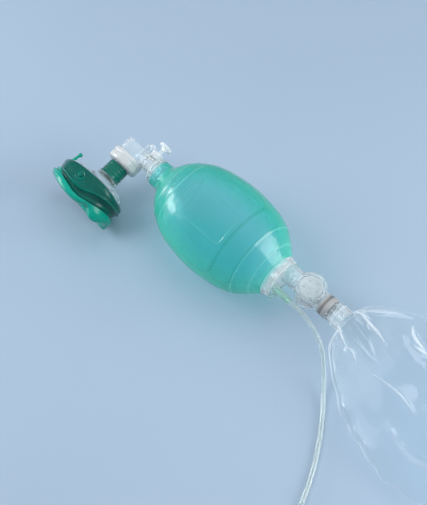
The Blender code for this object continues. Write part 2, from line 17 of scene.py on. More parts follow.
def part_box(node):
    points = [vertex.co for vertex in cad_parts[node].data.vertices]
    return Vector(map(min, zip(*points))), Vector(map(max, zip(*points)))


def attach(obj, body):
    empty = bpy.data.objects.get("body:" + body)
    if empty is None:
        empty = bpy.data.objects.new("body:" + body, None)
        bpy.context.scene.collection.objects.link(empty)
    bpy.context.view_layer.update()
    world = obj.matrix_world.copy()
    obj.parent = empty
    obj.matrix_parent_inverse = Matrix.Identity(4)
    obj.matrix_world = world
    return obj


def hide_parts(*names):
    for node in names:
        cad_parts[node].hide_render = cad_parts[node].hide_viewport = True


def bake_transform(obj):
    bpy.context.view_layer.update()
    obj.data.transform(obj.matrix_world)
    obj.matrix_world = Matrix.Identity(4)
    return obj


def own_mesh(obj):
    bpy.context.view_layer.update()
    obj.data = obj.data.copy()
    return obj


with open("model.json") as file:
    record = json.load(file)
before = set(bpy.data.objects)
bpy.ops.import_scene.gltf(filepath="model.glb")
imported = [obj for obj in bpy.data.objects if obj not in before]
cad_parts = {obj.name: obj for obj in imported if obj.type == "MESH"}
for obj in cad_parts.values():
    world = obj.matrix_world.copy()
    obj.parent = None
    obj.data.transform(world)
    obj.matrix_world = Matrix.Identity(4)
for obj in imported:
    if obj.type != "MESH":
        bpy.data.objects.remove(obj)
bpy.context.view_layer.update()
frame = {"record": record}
MM = 0.001
TAU = math.tau

# ------------------------------------------------------------------ driving dimensions
BAG_NECK_REACH = 121.0          # from the bag's centre to its neck end
BAG_WALL = 2.2
BAG_PROFILE = [                 # (x, radius) of the bag's outside, from neck to mouth
    (-BAG_NECK_REACH, 17.9), (-115.0, 18.2), (-109.0, 18.9), (-104.0, 22.8), (-93.0, 36.0),
    (-80.0, 46.5), (-61.0, 56.6), (-33.0, 63.0), (0.0, 65.0), (21.0, 63.2), (41.0, 59.4),
    (57.0, 53.0), (73.0, 41.4), (86.0, 29.9),
]
LABEL_TURN = math.radians(21.0)     # the label faces up and a little towards -Y
UNROLL_RADIUS = 60.0                # turns angles round the bag into lengths
MASK_SHIFT = -7.5                   # middle of the mask along the valve's X
MASK_A, MASK_B = 52.0, 43.5         # half length and half width of the mask
POPOFF_X, MONITOR_X = 27.0, 14.2    # relief valve and gauge port on the valve's arm
NOZZLE_Y = -15.0                    # oxygen nozzle beside the bag's axis
TUBE_RADIUS, TUBE_BORE = 2.9, 1.9


# ------------------------------------------------------------------ frame positions
def box_mm(node):
    return [[v * 1000 for v in corner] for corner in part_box(node)]


JOINTS = {joint["name"]: joint for joint in frame["record"]["behaviour"]["joints"]}
BAG_LOW = box_mm("squeeze_bag")[0]
NECK_POS = Vector(JOINTS["valve_swivel"]["pos_m"]) * 1000       # on the bag's axis
BASE = Vector((BAG_LOW[0] + BAG_NECK_REACH, NECK_POS.y, NECK_POS.z))    # the bag's centre
TABLE_Z = BAG_LOW[2] - BASE.z
PORT_POS = Vector(JOINTS["port_swivel"]["pos_m"]) * 1000
PORT_AXIS = Vector(JOINTS["port_swivel"]["axis"])
REAR_Y = JOINTS["reservoir_swivel"]["pos_m"][1] * 1000 - BASE.y
CHAMBER_LOW, CHAMBER_HIGH = box_mm("chamber_top_cover")
CHAMBER_X = (CHAMBER_LOW[0] + CHAMBER_HIGH[0]) / 2 - BASE.x

BAG = Matrix.Translation(BASE)
# In the valve's frame +X runs to the bag and -Y to the mask.
VALVE = Matrix.Translation(PORT_POS) @ Matrix.Rotation(
    math.atan2(PORT_AXIS.z, PORT_AXIS.y), 4, "X")
REAR = BAG @ Matrix.Translation((0, REAR_Y, 0))
CHAMBER = BAG @ Matrix.Translation((CHAMBER_X, REAR_Y, 0))
STUB = (VALVE @ Matrix.Translation((MASK_SHIFT - MASK_A + 4.4, -65.2, 0))
        @ Matrix.Rotation(-math.radians(12), 4, "Z"))


# ------------------------------------------------------------------ curves
def smoothstep(start, end, x):
    share = np.clip((x - start) / (end - start), 0.0, 1.0)
    return share * share * (3 - 2 * share)


def bell(x, width):
    return np.exp(-(x / width) ** 2)


def lookup(table, x):
    """Straight-line reading of a table of (x, value)."""
    stations, values = zip(*table)
    return np.interp(x, stations, values)


def smooth_curve(points, count):
    """Hermite curve through points of any dimension, sampled by chord length."""
    knots = np.array(points, float)
    reach = np.r_[0, np.cumsum(np.linalg.norm(np.diff(knots, axis=0), axis=1))]
    slope = np.gradient(knots, reach, axis=0)
    sample = np.linspace(0, reach[-1], count)
    i = np.clip(np.searchsorted(reach, sample, side="right") - 1, 0, len(reach) - 2)
    step = (reach[i + 1] - reach[i])[:, None]
    share = (sample - reach[i])[:, None] / step
    square, cube = share**2, share**3
    return ((2 * cube - 3 * square + 1) * knots[i]
            + (cube - 2 * square + share) * step * slope[i]
            + (-2 * cube + 3 * square) * knots[i + 1]
            + (cube - square) * step * slope[i + 1])


def rounded(points, radius, steps=3):
    """Round a profile's corners. One that starts on the axis is open and keeps its ends."""
    points = [np.array(point, float) for point in points]
    ends = (0, len(points) - 1) if points[0][1] == 0 else ()
    out = []
    for i, corner in enumerate(points):
        if i in ends:
            out.append(corner)
            continue
        before, after = points[i - 1] - corner, points[(i + 1) % len(points)] - corner
        room_before, room_after = np.linalg.norm(before), np.linalg.norm(after)
        before, after = before / room_before, after / room_after
        turn = math.pi - math.acos(max(-1.0, min(1.0, float(before @ after))))
        if turn < math.radians(12):
            out.append(corner)
            continue
        back = min(radius * math.tan(turn / 2), 0.42 * room_before, 0.42 * room_after)
        start, end = corner + before * back, corner + after * back
        for k in range(steps + 1):
            share = k / steps
            out.append((1 - share) ** 2 * start + 2 * share * (1 - share) * corner
                       + share * share * end)
    return out


def circle_angles(count):
    return np.arange(count) * TAU / count


# ------------------------------------------------------------------ shapes: (verts, faces)
def grid_faces(rows, cols, wrap_rows=True, wrap_cols=True):
    row, col = np.meshgrid(np.arange(rows if wrap_rows else rows - 1),
                           np.arange(cols if wrap_cols else cols - 1), indexing="ij")
    next_row, next_col = (row + 1) % rows, (col + 1) % cols
    quads = np.stack([row * cols + col, row * cols + next_col,
                      next_row * cols + next_col, next_row * cols + col], -1)
    return quads.reshape(-1, 4).tolist()


def skin(rows, wrap_rows=True):
    """Surface through loops of points."""
    return np.concatenate(rows).tolist(), grid_faces(len(rows), len(rows[0]), wrap_rows)


def axis_ways(axis):
    """Unit vectors along an axis and two across it, in cyclic order."""
    return np.roll(np.eye(3), -"XYZ".index(axis), axis=0)


def turned(profile, axis, segments, rounding=0.0, centre=(0, 0, 0), shape=None):
    """Revolve (along, radius) points; shape(along, radius, angle) may change the radius.

    A profile that starts and ends on the axis is solid, any other is a closed loop.
    """
    if rounding:
        profile = rounded(profile, rounding)
    along_way, first_way, second_way = axis_ways(axis)
    angle = circle_angles(segments)
    verts, loops, faces = [], [], []
    for along, radius in profile:
        middle = np.array(centre) + along_way * along
        if radius == 0:
            loops.append([len(verts)] * segments)
            verts.append(middle)
            continue
        reach = shape(along, radius, angle) if shape else radius
        loops.append(range(len(verts), len(verts) + segments))
        verts.extend(middle + np.outer(reach * np.cos(angle), first_way)
                     + np.outer(reach * np.sin(angle), second_way))
    solid = profile[0][1] == 0
    for one, two in zip(loops, loops[1:] if solid else loops[1:] + loops[:1]):
        for k in range(segments):
            j = (k + 1) % segments
            # repeats at a point on the axis drop out, which leaves a triangle
            faces.append(tuple(dict.fromkeys((one[k], one[j], two[j], two[k]))))
    return verts, faces


def rod(start, end, radius, axis, segments, rounding=0.0, centre=(0, 0, 0)):
    profile = [(start, 0.0), (start, radius), (end, radius), (end, 0.0)]
    return turned(profile, axis, segments, rounding, centre)


def walled(outer, inner):
    """Closed profile of a wall, from its outer and inner lines."""
    return outer + inner[::-1]


def boxed(low, high, bevel=0.0):
    bm = bmesh.new()
    bmesh.ops.create_cube(bm, size=1.0)
    bmesh.ops.scale(bm, vec=[b - a for a, b in zip(low, high)], verts=bm.verts)
    bmesh.ops.translate(bm, vec=[(b + a) / 2 for a, b in zip(low, high)], verts=bm.verts)
    if bevel:
        bmesh.ops.bevel(bm, geom=bm.edges[:], offset=bevel, segments=2,
                        affect="EDGES", profile=0.6)
    verts = [v.co[:] for v in bm.verts]
    faces = [[v.index for v in face.verts] for face in bm.faces]
    bm.free()
    return verts, faces


def tube_rows(path, radius, sides):
    """Circles along a path, turned as little as possible from one to the next."""
    path = np.array(path, float)
    tangents = np.gradient(path, axis=0)
    tangents /= np.linalg.norm(tangents, axis=1)[:, None]
    up = np.array([0, 0, 1.0]) if abs(tangents[0][2]) < 0.9 else np.array([0, 1.0, 0])
    side = np.cross(up, tangents[0])
    angle = circle_angles(sides)
    rows = []
    for point, tangent in zip(path, tangents):
        side = side - tangent * (side @ tangent)
        side /= np.linalg.norm(side)
        rows.append(point + radius * (np.outer(np.cos(angle), side)
                                      + np.outer(np.sin(angle), np.cross(tangent, side))))
    return rows


def wire(path, radius, sides):
    verts, faces = skin(tube_rows(path, radius, sides), wrap_rows=False)
    faces.append(list(range(sides))[::-1])
    faces.append(list(range(len(verts) - sides, len(verts))))
    return verts, faces


def pipe(path, outer, inner, sides):
    return skin(tube_rows(path, outer, sides) + tube_rows(path, inner, sides)[::-1])


# ------------------------------------------------------------------ objects
ADD, CUT = "UNION", "DIFFERENCE"


def smooth(obj, angle):
    obj.data.shade_smooth()
    obj.data.set_sharp_from_angle(angle=math.radians(angle))


def mesh_object(name, shape, place, angle=40.0):
    verts, faces = shape
    bm = bmesh.new()
    corners = [bm.verts.new(tuple(float(c) for c in v)) for v in verts]
    for face in faces:
        bm.faces.new([corners[i] for i in face])
    bmesh.ops.transform(bm, matrix=place, verts=bm.verts)
    bmesh.ops.scale(bm, vec=(MM, MM, MM), verts=bm.verts)
    bmesh.ops.remove_doubles(bm, verts=bm.verts, dist=1e-7)
    bmesh.ops.recalc_face_normals(bm, faces=bm.faces)
    mesh = bpy.data.meshes.new(name)
    bm.to_mesh(mesh)
    bm.free()
    obj = bpy.data.objects.new(name, mesh)
    bpy.context.scene.collection.objects.link(obj)
    smooth(obj, angle)
    return obj


def fuse(obj, steps, place):
    """Apply Booleans (operation, shape[, place of its own]) to obj's mesh."""
    tools = []
    for operation, shape, *own_place in steps:
        tool = mesh_object("tool", shape, own_place[0] if own_place else place)
        tools.append(tool)
        modifier = obj.modifiers.new("step", "BOOLEAN")
        modifier.operation, modifier.solver, modifier.object = operation, "MANIFOLD", tool
    graph = bpy.context.evaluated_depsgraph_get()
    result = bpy.data.meshes.new_from_object(obj.evaluated_get(graph))
    obj.modifiers.clear()
    obj.data = result
    for tool in tools:
        bpy.data.objects.remove(tool, do_unlink=True)
    smooth(obj, angle=35.0)


def put(obj, body, materials, *nodes):
    """Give obj its materials, the body it rides on and the CAD nodes it stands for."""
    materials = materials if isinstance(materials, list) else [materials]
    obj.data.materials.clear()
    for material in materials:
        obj.data.materials.append(material)
    if body:
        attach(obj, body)
    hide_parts(*nodes)


def part(name, node, shape, place, body, materials, steps=(), angle=40.0):
    obj = mesh_object(name, shape, place, angle)
    if steps:
        fuse(obj, steps, place)
    put(obj, body, materials, node)
    return obj


def paint(obj, name, values):
    """Store one number per vertex for the shaders."""
    layer = obj.data.attributes.new(name, "FLOAT", "POINT")
    layer.data.foreach_set("value", values.reshape(-1).astype(np.float32))


# ------------------------------------------------------------------ shader nodes
class Nodes:
    """A node tree, with methods that add a node and return one of its outputs.

    As an input a socket is linked, a tuple is a colour and a number is set. In input
    names an underscore stands for a space.
    """

    def __init__(self, owner):
        owner.use_nodes = True
        self.tree = owner.node_tree

    def feed(self, node, ordered, named):
        named = {key.replace("_", " "): value for key, value in named.items()}
        for key, value in [*enumerate(ordered), *named.items()]:
            if isinstance(value, bpy.types.NodeSocket):
                self.tree.links.new(value, node.inputs[key])
            else:
                value = (*value, 1) if isinstance(value, tuple) else value
                node.inputs[key].default_value = value
        return node

    def existing(self, name, **inputs):
        return self.feed(self.tree.nodes[name], (), inputs)

    def add(self, kind, *ordered, setup=None, take=0, **named):
        node = self.tree.nodes.new("ShaderNode" + kind)
        for key, value in (setup or {}).items():
            setattr(node, key, value)
        return self.feed(node, ordered, named).outputs[take]

    def principled(self, **inputs):
        return self.existing("Principled BSDF", **inputs).outputs[0]

    def noise(self, scale, detail=3.0, rough=0.5, distortion=0.0):
        place = self.add("Mapping", Vector=self.add("TexCoord", take="Object"))
        return self.add("TexNoise", take="Fac", Vector=place, Scale=scale, Detail=detail,
                        Roughness=rough, Distortion=distortion)

    def remap(self, value, to, over=(0.3, 0.7)):
        """Carry the range over to the range to."""
        return self.add("MapRange", Value=value, From_Min=over[0], From_Max=over[1],
                        To_Min=to[0], To_Max=to[1])

    def mix(self, factor, first, second):
        return self.add("Mix", setup={"data_type": "RGBA"}, take="Result",
                        Factor=factor, A=first, B=second)

    def multiply(self, first, second):
        return self.add("Math", first, second, setup={"operation": "MULTIPLY"})

    def bump(self, height, strength, distance):
        return self.add("Bump", Height=height, Strength=strength, Distance=distance)

    def attribute(self, name):
        return self.add("Attribute", setup={"attribute_name": name}, take="Fac")

    def facing(self, blend, **normal):
        return self.add("LayerWeight", take="Facing", Blend=blend, **normal)

    def outside(self, factor, behind=0.0):
        """The factor on the side that faces out, and a share of it seen from behind."""
        backfacing = self.add("NewGeometry", take="Backfacing")
        return self.multiply(self.remap(backfacing, to=(1.0, behind), over=(0.0, 1.0)), factor)

    def finish(self, body, shadow=0.0, tint=None):
        """Send body to the surface, letting a share of the light through its shadow."""
        if shadow:
            share = self.multiply(self.add("LightPath", take="Is Shadow Ray"), shadow)
            body = self.add("MixShader", share, body, self.add("BsdfTransparent", Color=tint))
        self.existing("Material Output", Surface=body)


def new_material(name):
    material = bpy.data.materials.new(name)
    return material, Nodes(material)


# ------------------------------------------------------------------ materials
def clear_plastic(name, tint=(0.93, 0.965, 0.975), rough=0.04, ior=1.36, shadow=0.75,
                  milk=0.10):
    """Clear moulded plastic: refracts, with a little milkiness that shows its walls."""
    material, nodes = new_material(name)
    wide = nodes.noise(scale=60)
    fine = nodes.noise(scale=400, detail=2)
    normal = nodes.bump(wide, strength=0.10, distance=0.0005)
    glass = nodes.principled(
        Transmission_Weight=1.0, IOR=ior, Normal=normal,
        Base_Color=nodes.mix(wide, tint, tuple(min(1.0, c * 1.03) for c in tint)),
        Roughness=nodes.remap(fine, to=(rough * 0.7, rough * 1.6)))
    veil = nodes.add("BsdfPrincipled", Base_Color=(0.93, 0.95, 0.96), Roughness=0.12,
                     Normal=normal)
    haze = nodes.remap(nodes.facing(blend=0.5), to=(milk * 0.6, milk * 2.6), over=(0.1, 0.95))
    nodes.finish(nodes.add("MixShader", haze, glass, veil), shadow, tint)
    return material


def soft_plastic(name, dark, light, rough, translucent=0.0, coat=0.2, shadow=0.0, grain=260,
                 bumpy=0.05, clear=0.0, wall=None, gleam=1.0, lighter=None):
    """Coloured soft plastic; translucent lets light through it, clear the eye.

    With lighter, a painted attribute lightens above 0.5 (a lighter lip and painted highlight) and
    darkens below it (painted shade).
    """
    material, nodes = new_material(name)
    wide = nodes.noise(scale=40)
    fine = nodes.noise(scale=grain, rough=0.6)
    colour = nodes.mix(nodes.remap(wide, to=(0, 1)), dark, light)
    if lighter:
        tone_and_painted_light = nodes.attribute("tone_and_painted_light")
        # lighter lip and painted highlight above 0.5, painted shade below it
        lip = nodes.remap(tone_and_painted_light, to=(0.0, 1.0), over=(0.5, 1.0))
        painted_shade = nodes.remap(tone_and_painted_light, to=(0.0, 0.8), over=(0.5, 0.0))
        colour = nodes.mix(lip, colour, lighter)
        colour = nodes.mix(painted_shade, colour, (0.0, 0.035, 0.03))
    normal = nodes.bump(fine, strength=bumpy, distance=0.0002)
    body = nodes.principled(
        Base_Color=colour, Roughness=nodes.remap(fine, to=(rough * 0.8, rough * 1.25)),
        Coat_Weight=coat, Coat_Roughness=0.06, Specular_IOR_Level=0.35, Normal=normal)
    if translucent:
        glow = nodes.add("BsdfTranslucent", Color=colour)
        body = nodes.add("MixShader", translucent, body, glow)
        gloss = nodes.add("BsdfGlossy", Roughness=max(0.05, rough * 0.6))
        shine = nodes.add("Fresnel", IOR=1.0 + 0.45 * gleam, Normal=normal)
        body = nodes.add("MixShader", shine, body, gloss)
    if clear:
        window = nodes.add("BsdfTransparent", Color=wall)
        solid = nodes.remap(nodes.facing(blend=0.4), to=(1 - clear, 1.0), over=(0.05, 0.8))
        body = nodes.add("MixShader", solid, window, body)
    nodes.finish(body, shadow, light)
    return material


def bag_wall(name, opacity, edge, wall):
    """Skin of the squeeze bag: green soft plastic that light and the eye pass through.

    It is as solid as opacity face on and as edge at grazing angles. A painted attribute
    lightens (above 0.5, painted highlight) or darkens (below, painted shade) the moulded lines.
    """
    material, nodes = new_material(name)
    wide = nodes.noise(scale=9, rough=0.55, distortion=0.4)
    fine = nodes.noise(scale=150, detail=2)
    tone_and_painted_light = nodes.attribute("tone_and_painted_light")
    view = nodes.facing(blend=0.42)
    # colour: mottled, deeper at grazing angles, then painted highlight and shade along the lines
    base = nodes.mix(nodes.remap(wide, to=(0, 1), over=(0.25, 0.75)),
                     (0.09, 0.66, 0.64), (0.16, 0.76, 0.74))
    deep = nodes.mix(nodes.remap(view, to=(0, 1), over=(0.25, 0.9)),
                     (0.03, 0.66, 0.46), (0.0, 0.58, 0.30))
    rim = nodes.mix(nodes.remap(view, to=(0.0, 0.55), over=(0.35, 0.95)), base, deep)
    # painted shade colour below 0.5, painted highlight colour above it
    dark = nodes.mix(nodes.remap(tone_and_painted_light, to=(0.0, 1.0), over=(0.0, 0.5)), (0.0, 0.42, 0.26), rim)
    colour = nodes.mix(nodes.remap(tone_and_painted_light, to=(0.0, 0.75), over=(0.5, 1.0)),
                       dark, (0.55, 0.93, 0.84))
    normal = nodes.bump(fine, strength=0.03, distance=0.0002)
    body = nodes.principled(Base_Color=colour, Roughness=0.42, Specular_IOR_Level=0.3,
                            Normal=normal)
    glow = nodes.add("BsdfTranslucent", Color=colour)
    body = nodes.add("MixShader", 0.48, body, glow)
    # window: the lines with painted highlight and shade are more solid than the plain wall
    grazing_wall = (wall[0] * 0.66, wall[1] * 0.985, wall[2] * 0.80)
    window = nodes.add("BsdfTransparent", Color=nodes.mix(
        nodes.remap(view, to=(0, 1), over=(0.15, 0.75)), wall, grazing_wall))
    lines = nodes.add("Math", nodes.remap(tone_and_painted_light, to=(0.25, 0.0), over=(0.0, 0.5)),
                      nodes.remap(tone_and_painted_light, to=(0.0, 0.3), over=(0.5, 1.0)))
    solid = nodes.add("Math", nodes.remap(view, to=(opacity, edge), over=(0.1, 0.85)), lines,
                      setup={"use_clamp": True})
    body = nodes.add("MixShader", solid, window, body)
    gloss = nodes.add("BsdfGlossy", Roughness=nodes.remap(fine, to=(0.13, 0.24)),
                      Normal=normal)
    shine = nodes.outside(nodes.add("Fresnel", IOR=1.5, Normal=normal))
    nodes.finish(nodes.add("MixShader", shine, body, gloss), shadow=0.5,
                 tint=(0.84, 0.985, 0.95))
    return material


def film_material(name):
    """Thin clear film: seen through face on, hazier at grazing angles, and whitened
    along its creases and pleats as a painted attribute says: painted highlight, with some stress
    whitening."""
    material, nodes = new_material(name)
    nodes.tree.nodes.remove(nodes.tree.nodes["Principled BSDF"])
    clear = nodes.add("BsdfTransparent", Color=(0.965, 0.985, 0.99))
    wrinkle = nodes.noise(scale=14, distortion=0.8)
    normal = nodes.bump(wrinkle, strength=0.25, distance=0.004)
    white = (0.90, 0.95, 0.98)
    milky = nodes.add("MixShader", 0.5, nodes.add("BsdfDiffuse", Color=white),
                      nodes.add("BsdfTranslucent", Color=white))
    crease_highlight_and_whitening = nodes.attribute("crease_highlight_and_whitening")
    amount = nodes.add(
        "Math",
        nodes.remap(nodes.facing(blend=0.5, Normal=normal), to=(0.035, 0.75), over=(0.35, 0.95)),
        nodes.remap(crease_highlight_and_whitening, to=(0.0, 0.75), over=(0.08, 0.8)), setup={"use_clamp": True})
    body = nodes.add("MixShader", amount, clear, milky)
    gloss = nodes.add("BsdfGlossy", Normal=normal,
                      Roughness=nodes.remap(nodes.noise(scale=60), to=(0.05, 0.13)))
    shine = nodes.remap(nodes.add("Fresnel", IOR=1.42, Normal=normal),
                        to=(0.0, 0.45), over=(0.0, 0.55))
    body = nodes.add("MixShader", nodes.outside(shine, behind=0.35), body, gloss)
    nodes.finish(body, shadow=0.6, tint=(0.97, 0.98, 0.99))
    return material


def steel(name):
    material, nodes = new_material(name)
    nodes.principled(
        Metallic=1.0,
        Base_Color=nodes.mix(nodes.noise(scale=900, detail=2),
                             (0.62, 0.62, 0.63), (0.78, 0.78, 0.79)),
        Roughness=nodes.remap(nodes.noise(scale=1500, detail=2), to=(0.2, 0.4)),
        Normal=nodes.bump(nodes.noise(scale=1200, detail=2), strength=0.1, distance=0.0001))
    return material


def floor_material(name):
    material, nodes = new_material(name)
    nodes.principled(
        Base_Color=nodes.mix(nodes.noise(scale=2.0, detail=2),
                             (0.31, 0.41, 0.52), (0.34, 0.44, 0.55)),
        Roughness=nodes.remap(nodes.noise(scale=8.0, detail=2), to=(0.30, 0.42)),
        Normal=nodes.bump(nodes.noise(scale=30.0, detail=2), strength=0.02, distance=0.001))
    return material


BAG_SKIN = bag_wall("bag_green", opacity=0.17, edge=0.72, wall=(0.74, 0.96, 0.965))
BAG_LINING = bag_wall("bag_green_inside", opacity=0.02, edge=0.20, wall=(0.87, 0.985, 0.985))
MASK = soft_plastic(
    "mask_green", dark=(0.0, 0.135, 0.10), light=(0.0, 0.185, 0.14), rough=0.28,
    translucent=0.22, coat=0.0, shadow=0.15, gleam=0.5)
CUSHION = soft_plastic(
    "mask_cushion_green", dark=(0.0, 0.105, 0.082), light=(0.0, 0.150, 0.118), rough=0.26,
    translucent=0.28, coat=0.0, shadow=0.15, gleam=0.5, lighter=(0.0, 0.46, 0.34))
MASK_LIGHT = soft_plastic(
    "mask_green_light", dark=(0.0, 0.44, 0.31), light=(0.02, 0.56, 0.40), rough=0.17,
    translucent=0.42, coat=0.0, shadow=0.2, gleam=0.6)
CUFF = soft_plastic(
    "mask_cuff_green", dark=(0.0, 0.125, 0.09), light=(0.0, 0.175, 0.13), rough=0.17,
    translucent=0.2, coat=0.05, shadow=0.15, gleam=0.75)
CLEAR = clear_plastic("clear_plastic")
CLEAR_THIN = clear_plastic("clear_plastic_thin", tint=(0.95, 0.975, 0.98), rough=0.035,
                           ior=1.30, shadow=0.85, milk=0.045)
MILKY = clear_plastic("clear_plastic_milky", tint=(0.92, 0.955, 0.96), rough=0.1,
                      ior=1.34, shadow=0.7, milk=0.34)
FROST = soft_plastic(
    "frosted_plastic", dark=(0.84, 0.87, 0.89), light=(0.93, 0.95, 0.96), rough=0.34,
    translucent=0.42, coat=0.3, shadow=0.35, grain=500, bumpy=0.08, clear=0.22,
    wall=(0.92, 0.95, 0.96))
DISC = soft_plastic(
    "frosted_disc", dark=(0.46, 0.51, 0.54), light=(0.56, 0.61, 0.64), rough=0.35,
    translucent=0.35, coat=0.1, shadow=0.2, grain=420, bumpy=0.06, clear=0.25,
    wall=(0.85, 0.9, 0.93))
SILICONE = soft_plastic(
    "silicone", dark=(0.76, 0.80, 0.80), light=(0.84, 0.87, 0.87), rough=0.4,
    translucent=0.35, coat=0.1, shadow=0.3, clear=0.3, wall=(0.9, 0.93, 0.93))
GREY = soft_plastic("grey_plastic", dark=(0.31, 0.315, 0.32), light=(0.38, 0.385, 0.39),
                    rough=0.30, coat=0.3)
# painted shade for the middle band of the coupling sleeve
GREY_PAINTED_SHADE = soft_plastic("grey_plastic_painted_shade", dark=(0.150, 0.152, 0.156),
                         light=(0.200, 0.203, 0.207), rough=0.34)
SEAL = soft_plastic("seal_rubber", dark=(0.30, 0.31, 0.31), light=(0.36, 0.37, 0.37), rough=0.5)
FILM = film_material("clear_film")
TUBE = clear_plastic("clear_tube", tint=(0.80, 0.865, 0.85), rough=0.05, ior=1.42,
                     shadow=0.6, milk=0.12)
TINTED = clear_plastic("tinted_tube", tint=(0.66, 0.90, 0.81), rough=0.1, shadow=0.7)
STEEL = steel("spring_steel")


# ------------------------------------------------------------------ squeeze bag
def rounded_rect(x, around, start, end, half, radius):
    """Signed distance to a rounded rectangle on the unrolled bag."""
    past_x = np.abs(x - (start + end) / 2) - (end - start) / 2 + radius
    past_side = np.abs(around) - half + radius
    return (np.minimum(np.maximum(past_x, past_side), 0)
            + np.hypot(np.maximum(past_x, 0), np.maximum(past_side, 0)) - radius)


def soft_inside(distance, width):
    return 0.5 - 0.5 * np.tanh(distance / width)


def bag_lines(x, angle):
    """Signed distances to the main and mouth-end wrap-round panels and the blank label."""
    around = ((angle + math.pi) % TAU - math.pi) * UNROLL_RADIUS
    return (rounded_rect(x, around, start=-66.0, end=31.0, half=66.0, radius=13.0),
            rounded_rect(x, around, start=33.0, end=57.0, half=66.0, radius=5.0),
            rounded_rect(x, around, start=-50.0, end=26.0, half=20.5, radius=5.0))


def bag_relief(x, angle):
    """Height of the moulded lines: rings, wrap-round panels and the blank label."""
    main, mouth, label = bag_lines(x, angle)
    rings = 0.75 * bell(x + 82.5, 1.3) + 0.55 * bell(x - 58.4, 1.0) + 0.25 * bell(x - 76.0, 0.9)
    panels = (0.9 * soft_inside(main, 0.8) + 0.55 * bell(main, 1.0)
              + 0.7 * soft_inside(mouth, 0.7) + 0.45 * bell(mouth, 0.9))
    return rings + panels - 0.6 * soft_inside(label, 0.5) + 0.7 * bell(label, 0.7)


def bag_tone_and_painted_light(x, angle):
    """0.5 is plain wall; higher is a painted highlight, a lighter, milkier line, and lower mostly
    painted shade, a deeper green one.
    """
    main, mouth, label = bag_lines(x, angle)
    # painted highlight along the main panel's edge at the neck end, painted shade along it
    # elsewhere
    main_edge = (0.30 * bell(main, 1.0) * smoothstep(-50, -62, x)      # light at the neck end
                 - 0.50 * bell(main, 0.8) * smoothstep(-62, -45, x))   # deep elsewhere
    # painted highlights along the rings, and painted highlight and shade along the label's edge
    rings = 0.32 * bell(x - 58.8, 0.8) + 0.22 * bell(x + 82.5, 1.2) + 0.22 * bell(x - 76.0, 1.2)
    label_edge = 0.34 * bell(label + 0.2, 0.55) - 0.22 * bell(label - 1.0, 0.6)
    # painted sheen whitens the mouth-end cone; the neck-end cone is a little darker
    ends = 0.10 * smoothstep(60, 80, x) - 0.06 * smoothstep(-84, -92, x)
    # painted shade along the mouth-end panel's edge
    return np.clip(0.5 + main_edge - 0.45 * bell(mouth, 0.8) + rings + label_edge + ends, 0, 1)


def build_bag():
    rows_outside, segments = 250, 360
    mouth_lip = [(86.5, 29.6), (86.7, 28.6), (86.4, 27.2), (85.0, 26.6), (82.0, 28.0)]
    neck_lip = [(-105.0, 17.2), (-107.0, 15.7), (-110.0, 15.6), (-120.4, 15.6),
                (-121.2, 16.0), (-121.5, 16.8), (-121.3, 17.6)]
    outside = smooth_curve(BAG_PROFILE, rows_outside)
    wall = smooth_curve([(x, radius - BAG_WALL) for x, radius in BAG_PROFILE[3:-1]], 60)
    inside = np.array(mouth_lip + wall[::-1][3:].tolist() + neck_lip)

    angle = circle_angles(segments)
    up = np.array([0, -math.sin(LABEL_TURN), math.cos(LABEL_TURN)])
    side = np.array([0, math.cos(LABEL_TURN), math.sin(LABEL_TURN)])
    radial = np.outer(np.cos(angle), up) + np.outer(np.sin(angle), side)

    def swept(x, radius):
        points = radius[..., None] * radial
        points[..., 0] += x
        return points

    x_grid, angle_grid = np.meshgrid(outside[:, 0], angle, indexing="ij")
    points = np.concatenate([
        swept(x_grid, outside[:, 1:] + bag_relief(x_grid, angle_grid)),
        swept(inside[:, :1], inside[:, 1:])])
    points[..., 2] = np.maximum(points[..., 2], TABLE_Z + 0.15)     # flat on the table
    # painted highlight and shade along the moulded lines, on the outside rows only
    tone_and_painted_light = np.full(points.shape[:2], 0.5)
    tone_and_painted_light[:rows_outside] = bag_tone_and_painted_light(x_grid, angle_grid)
    bag = mesh_object("bag_skin", skin(points), BAG, angle=60)
    paint(bag, "tone_and_painted_light", tone_and_painted_light)
    put(bag, None, [BAG_SKIN, BAG_LINING], "squeeze_bag", "bag_grip_panel")
    lining_start = (rows_outside + 2) * segments
    lining_end = (len(points) - 5) * segments
    bag.data.polygons.foreach_set("material_index", [
        int(min(face.vertices) >= lining_start and max(face.vertices) < lining_end)
        for face in bag.data.polygons])
    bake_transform(bag)


# ------------------------------------------------------------------ patient valve
# Profiles from here on are (along the axis, radius).
def build_neck_socket():
    profile = [(-127.0, 17.4), (-125.6, 17.9), (-122.2, 17.9), (-121.5, 17.4), (-121.5, 15.2),
               (-101.0, 15.2), (-101.0, 11.5), (-127.0, 11.5)]
    part("neck_ring", "neck_socket", turned(profile, "X", 96, 0.4), BAG, "bag_assembly", CLEAR)


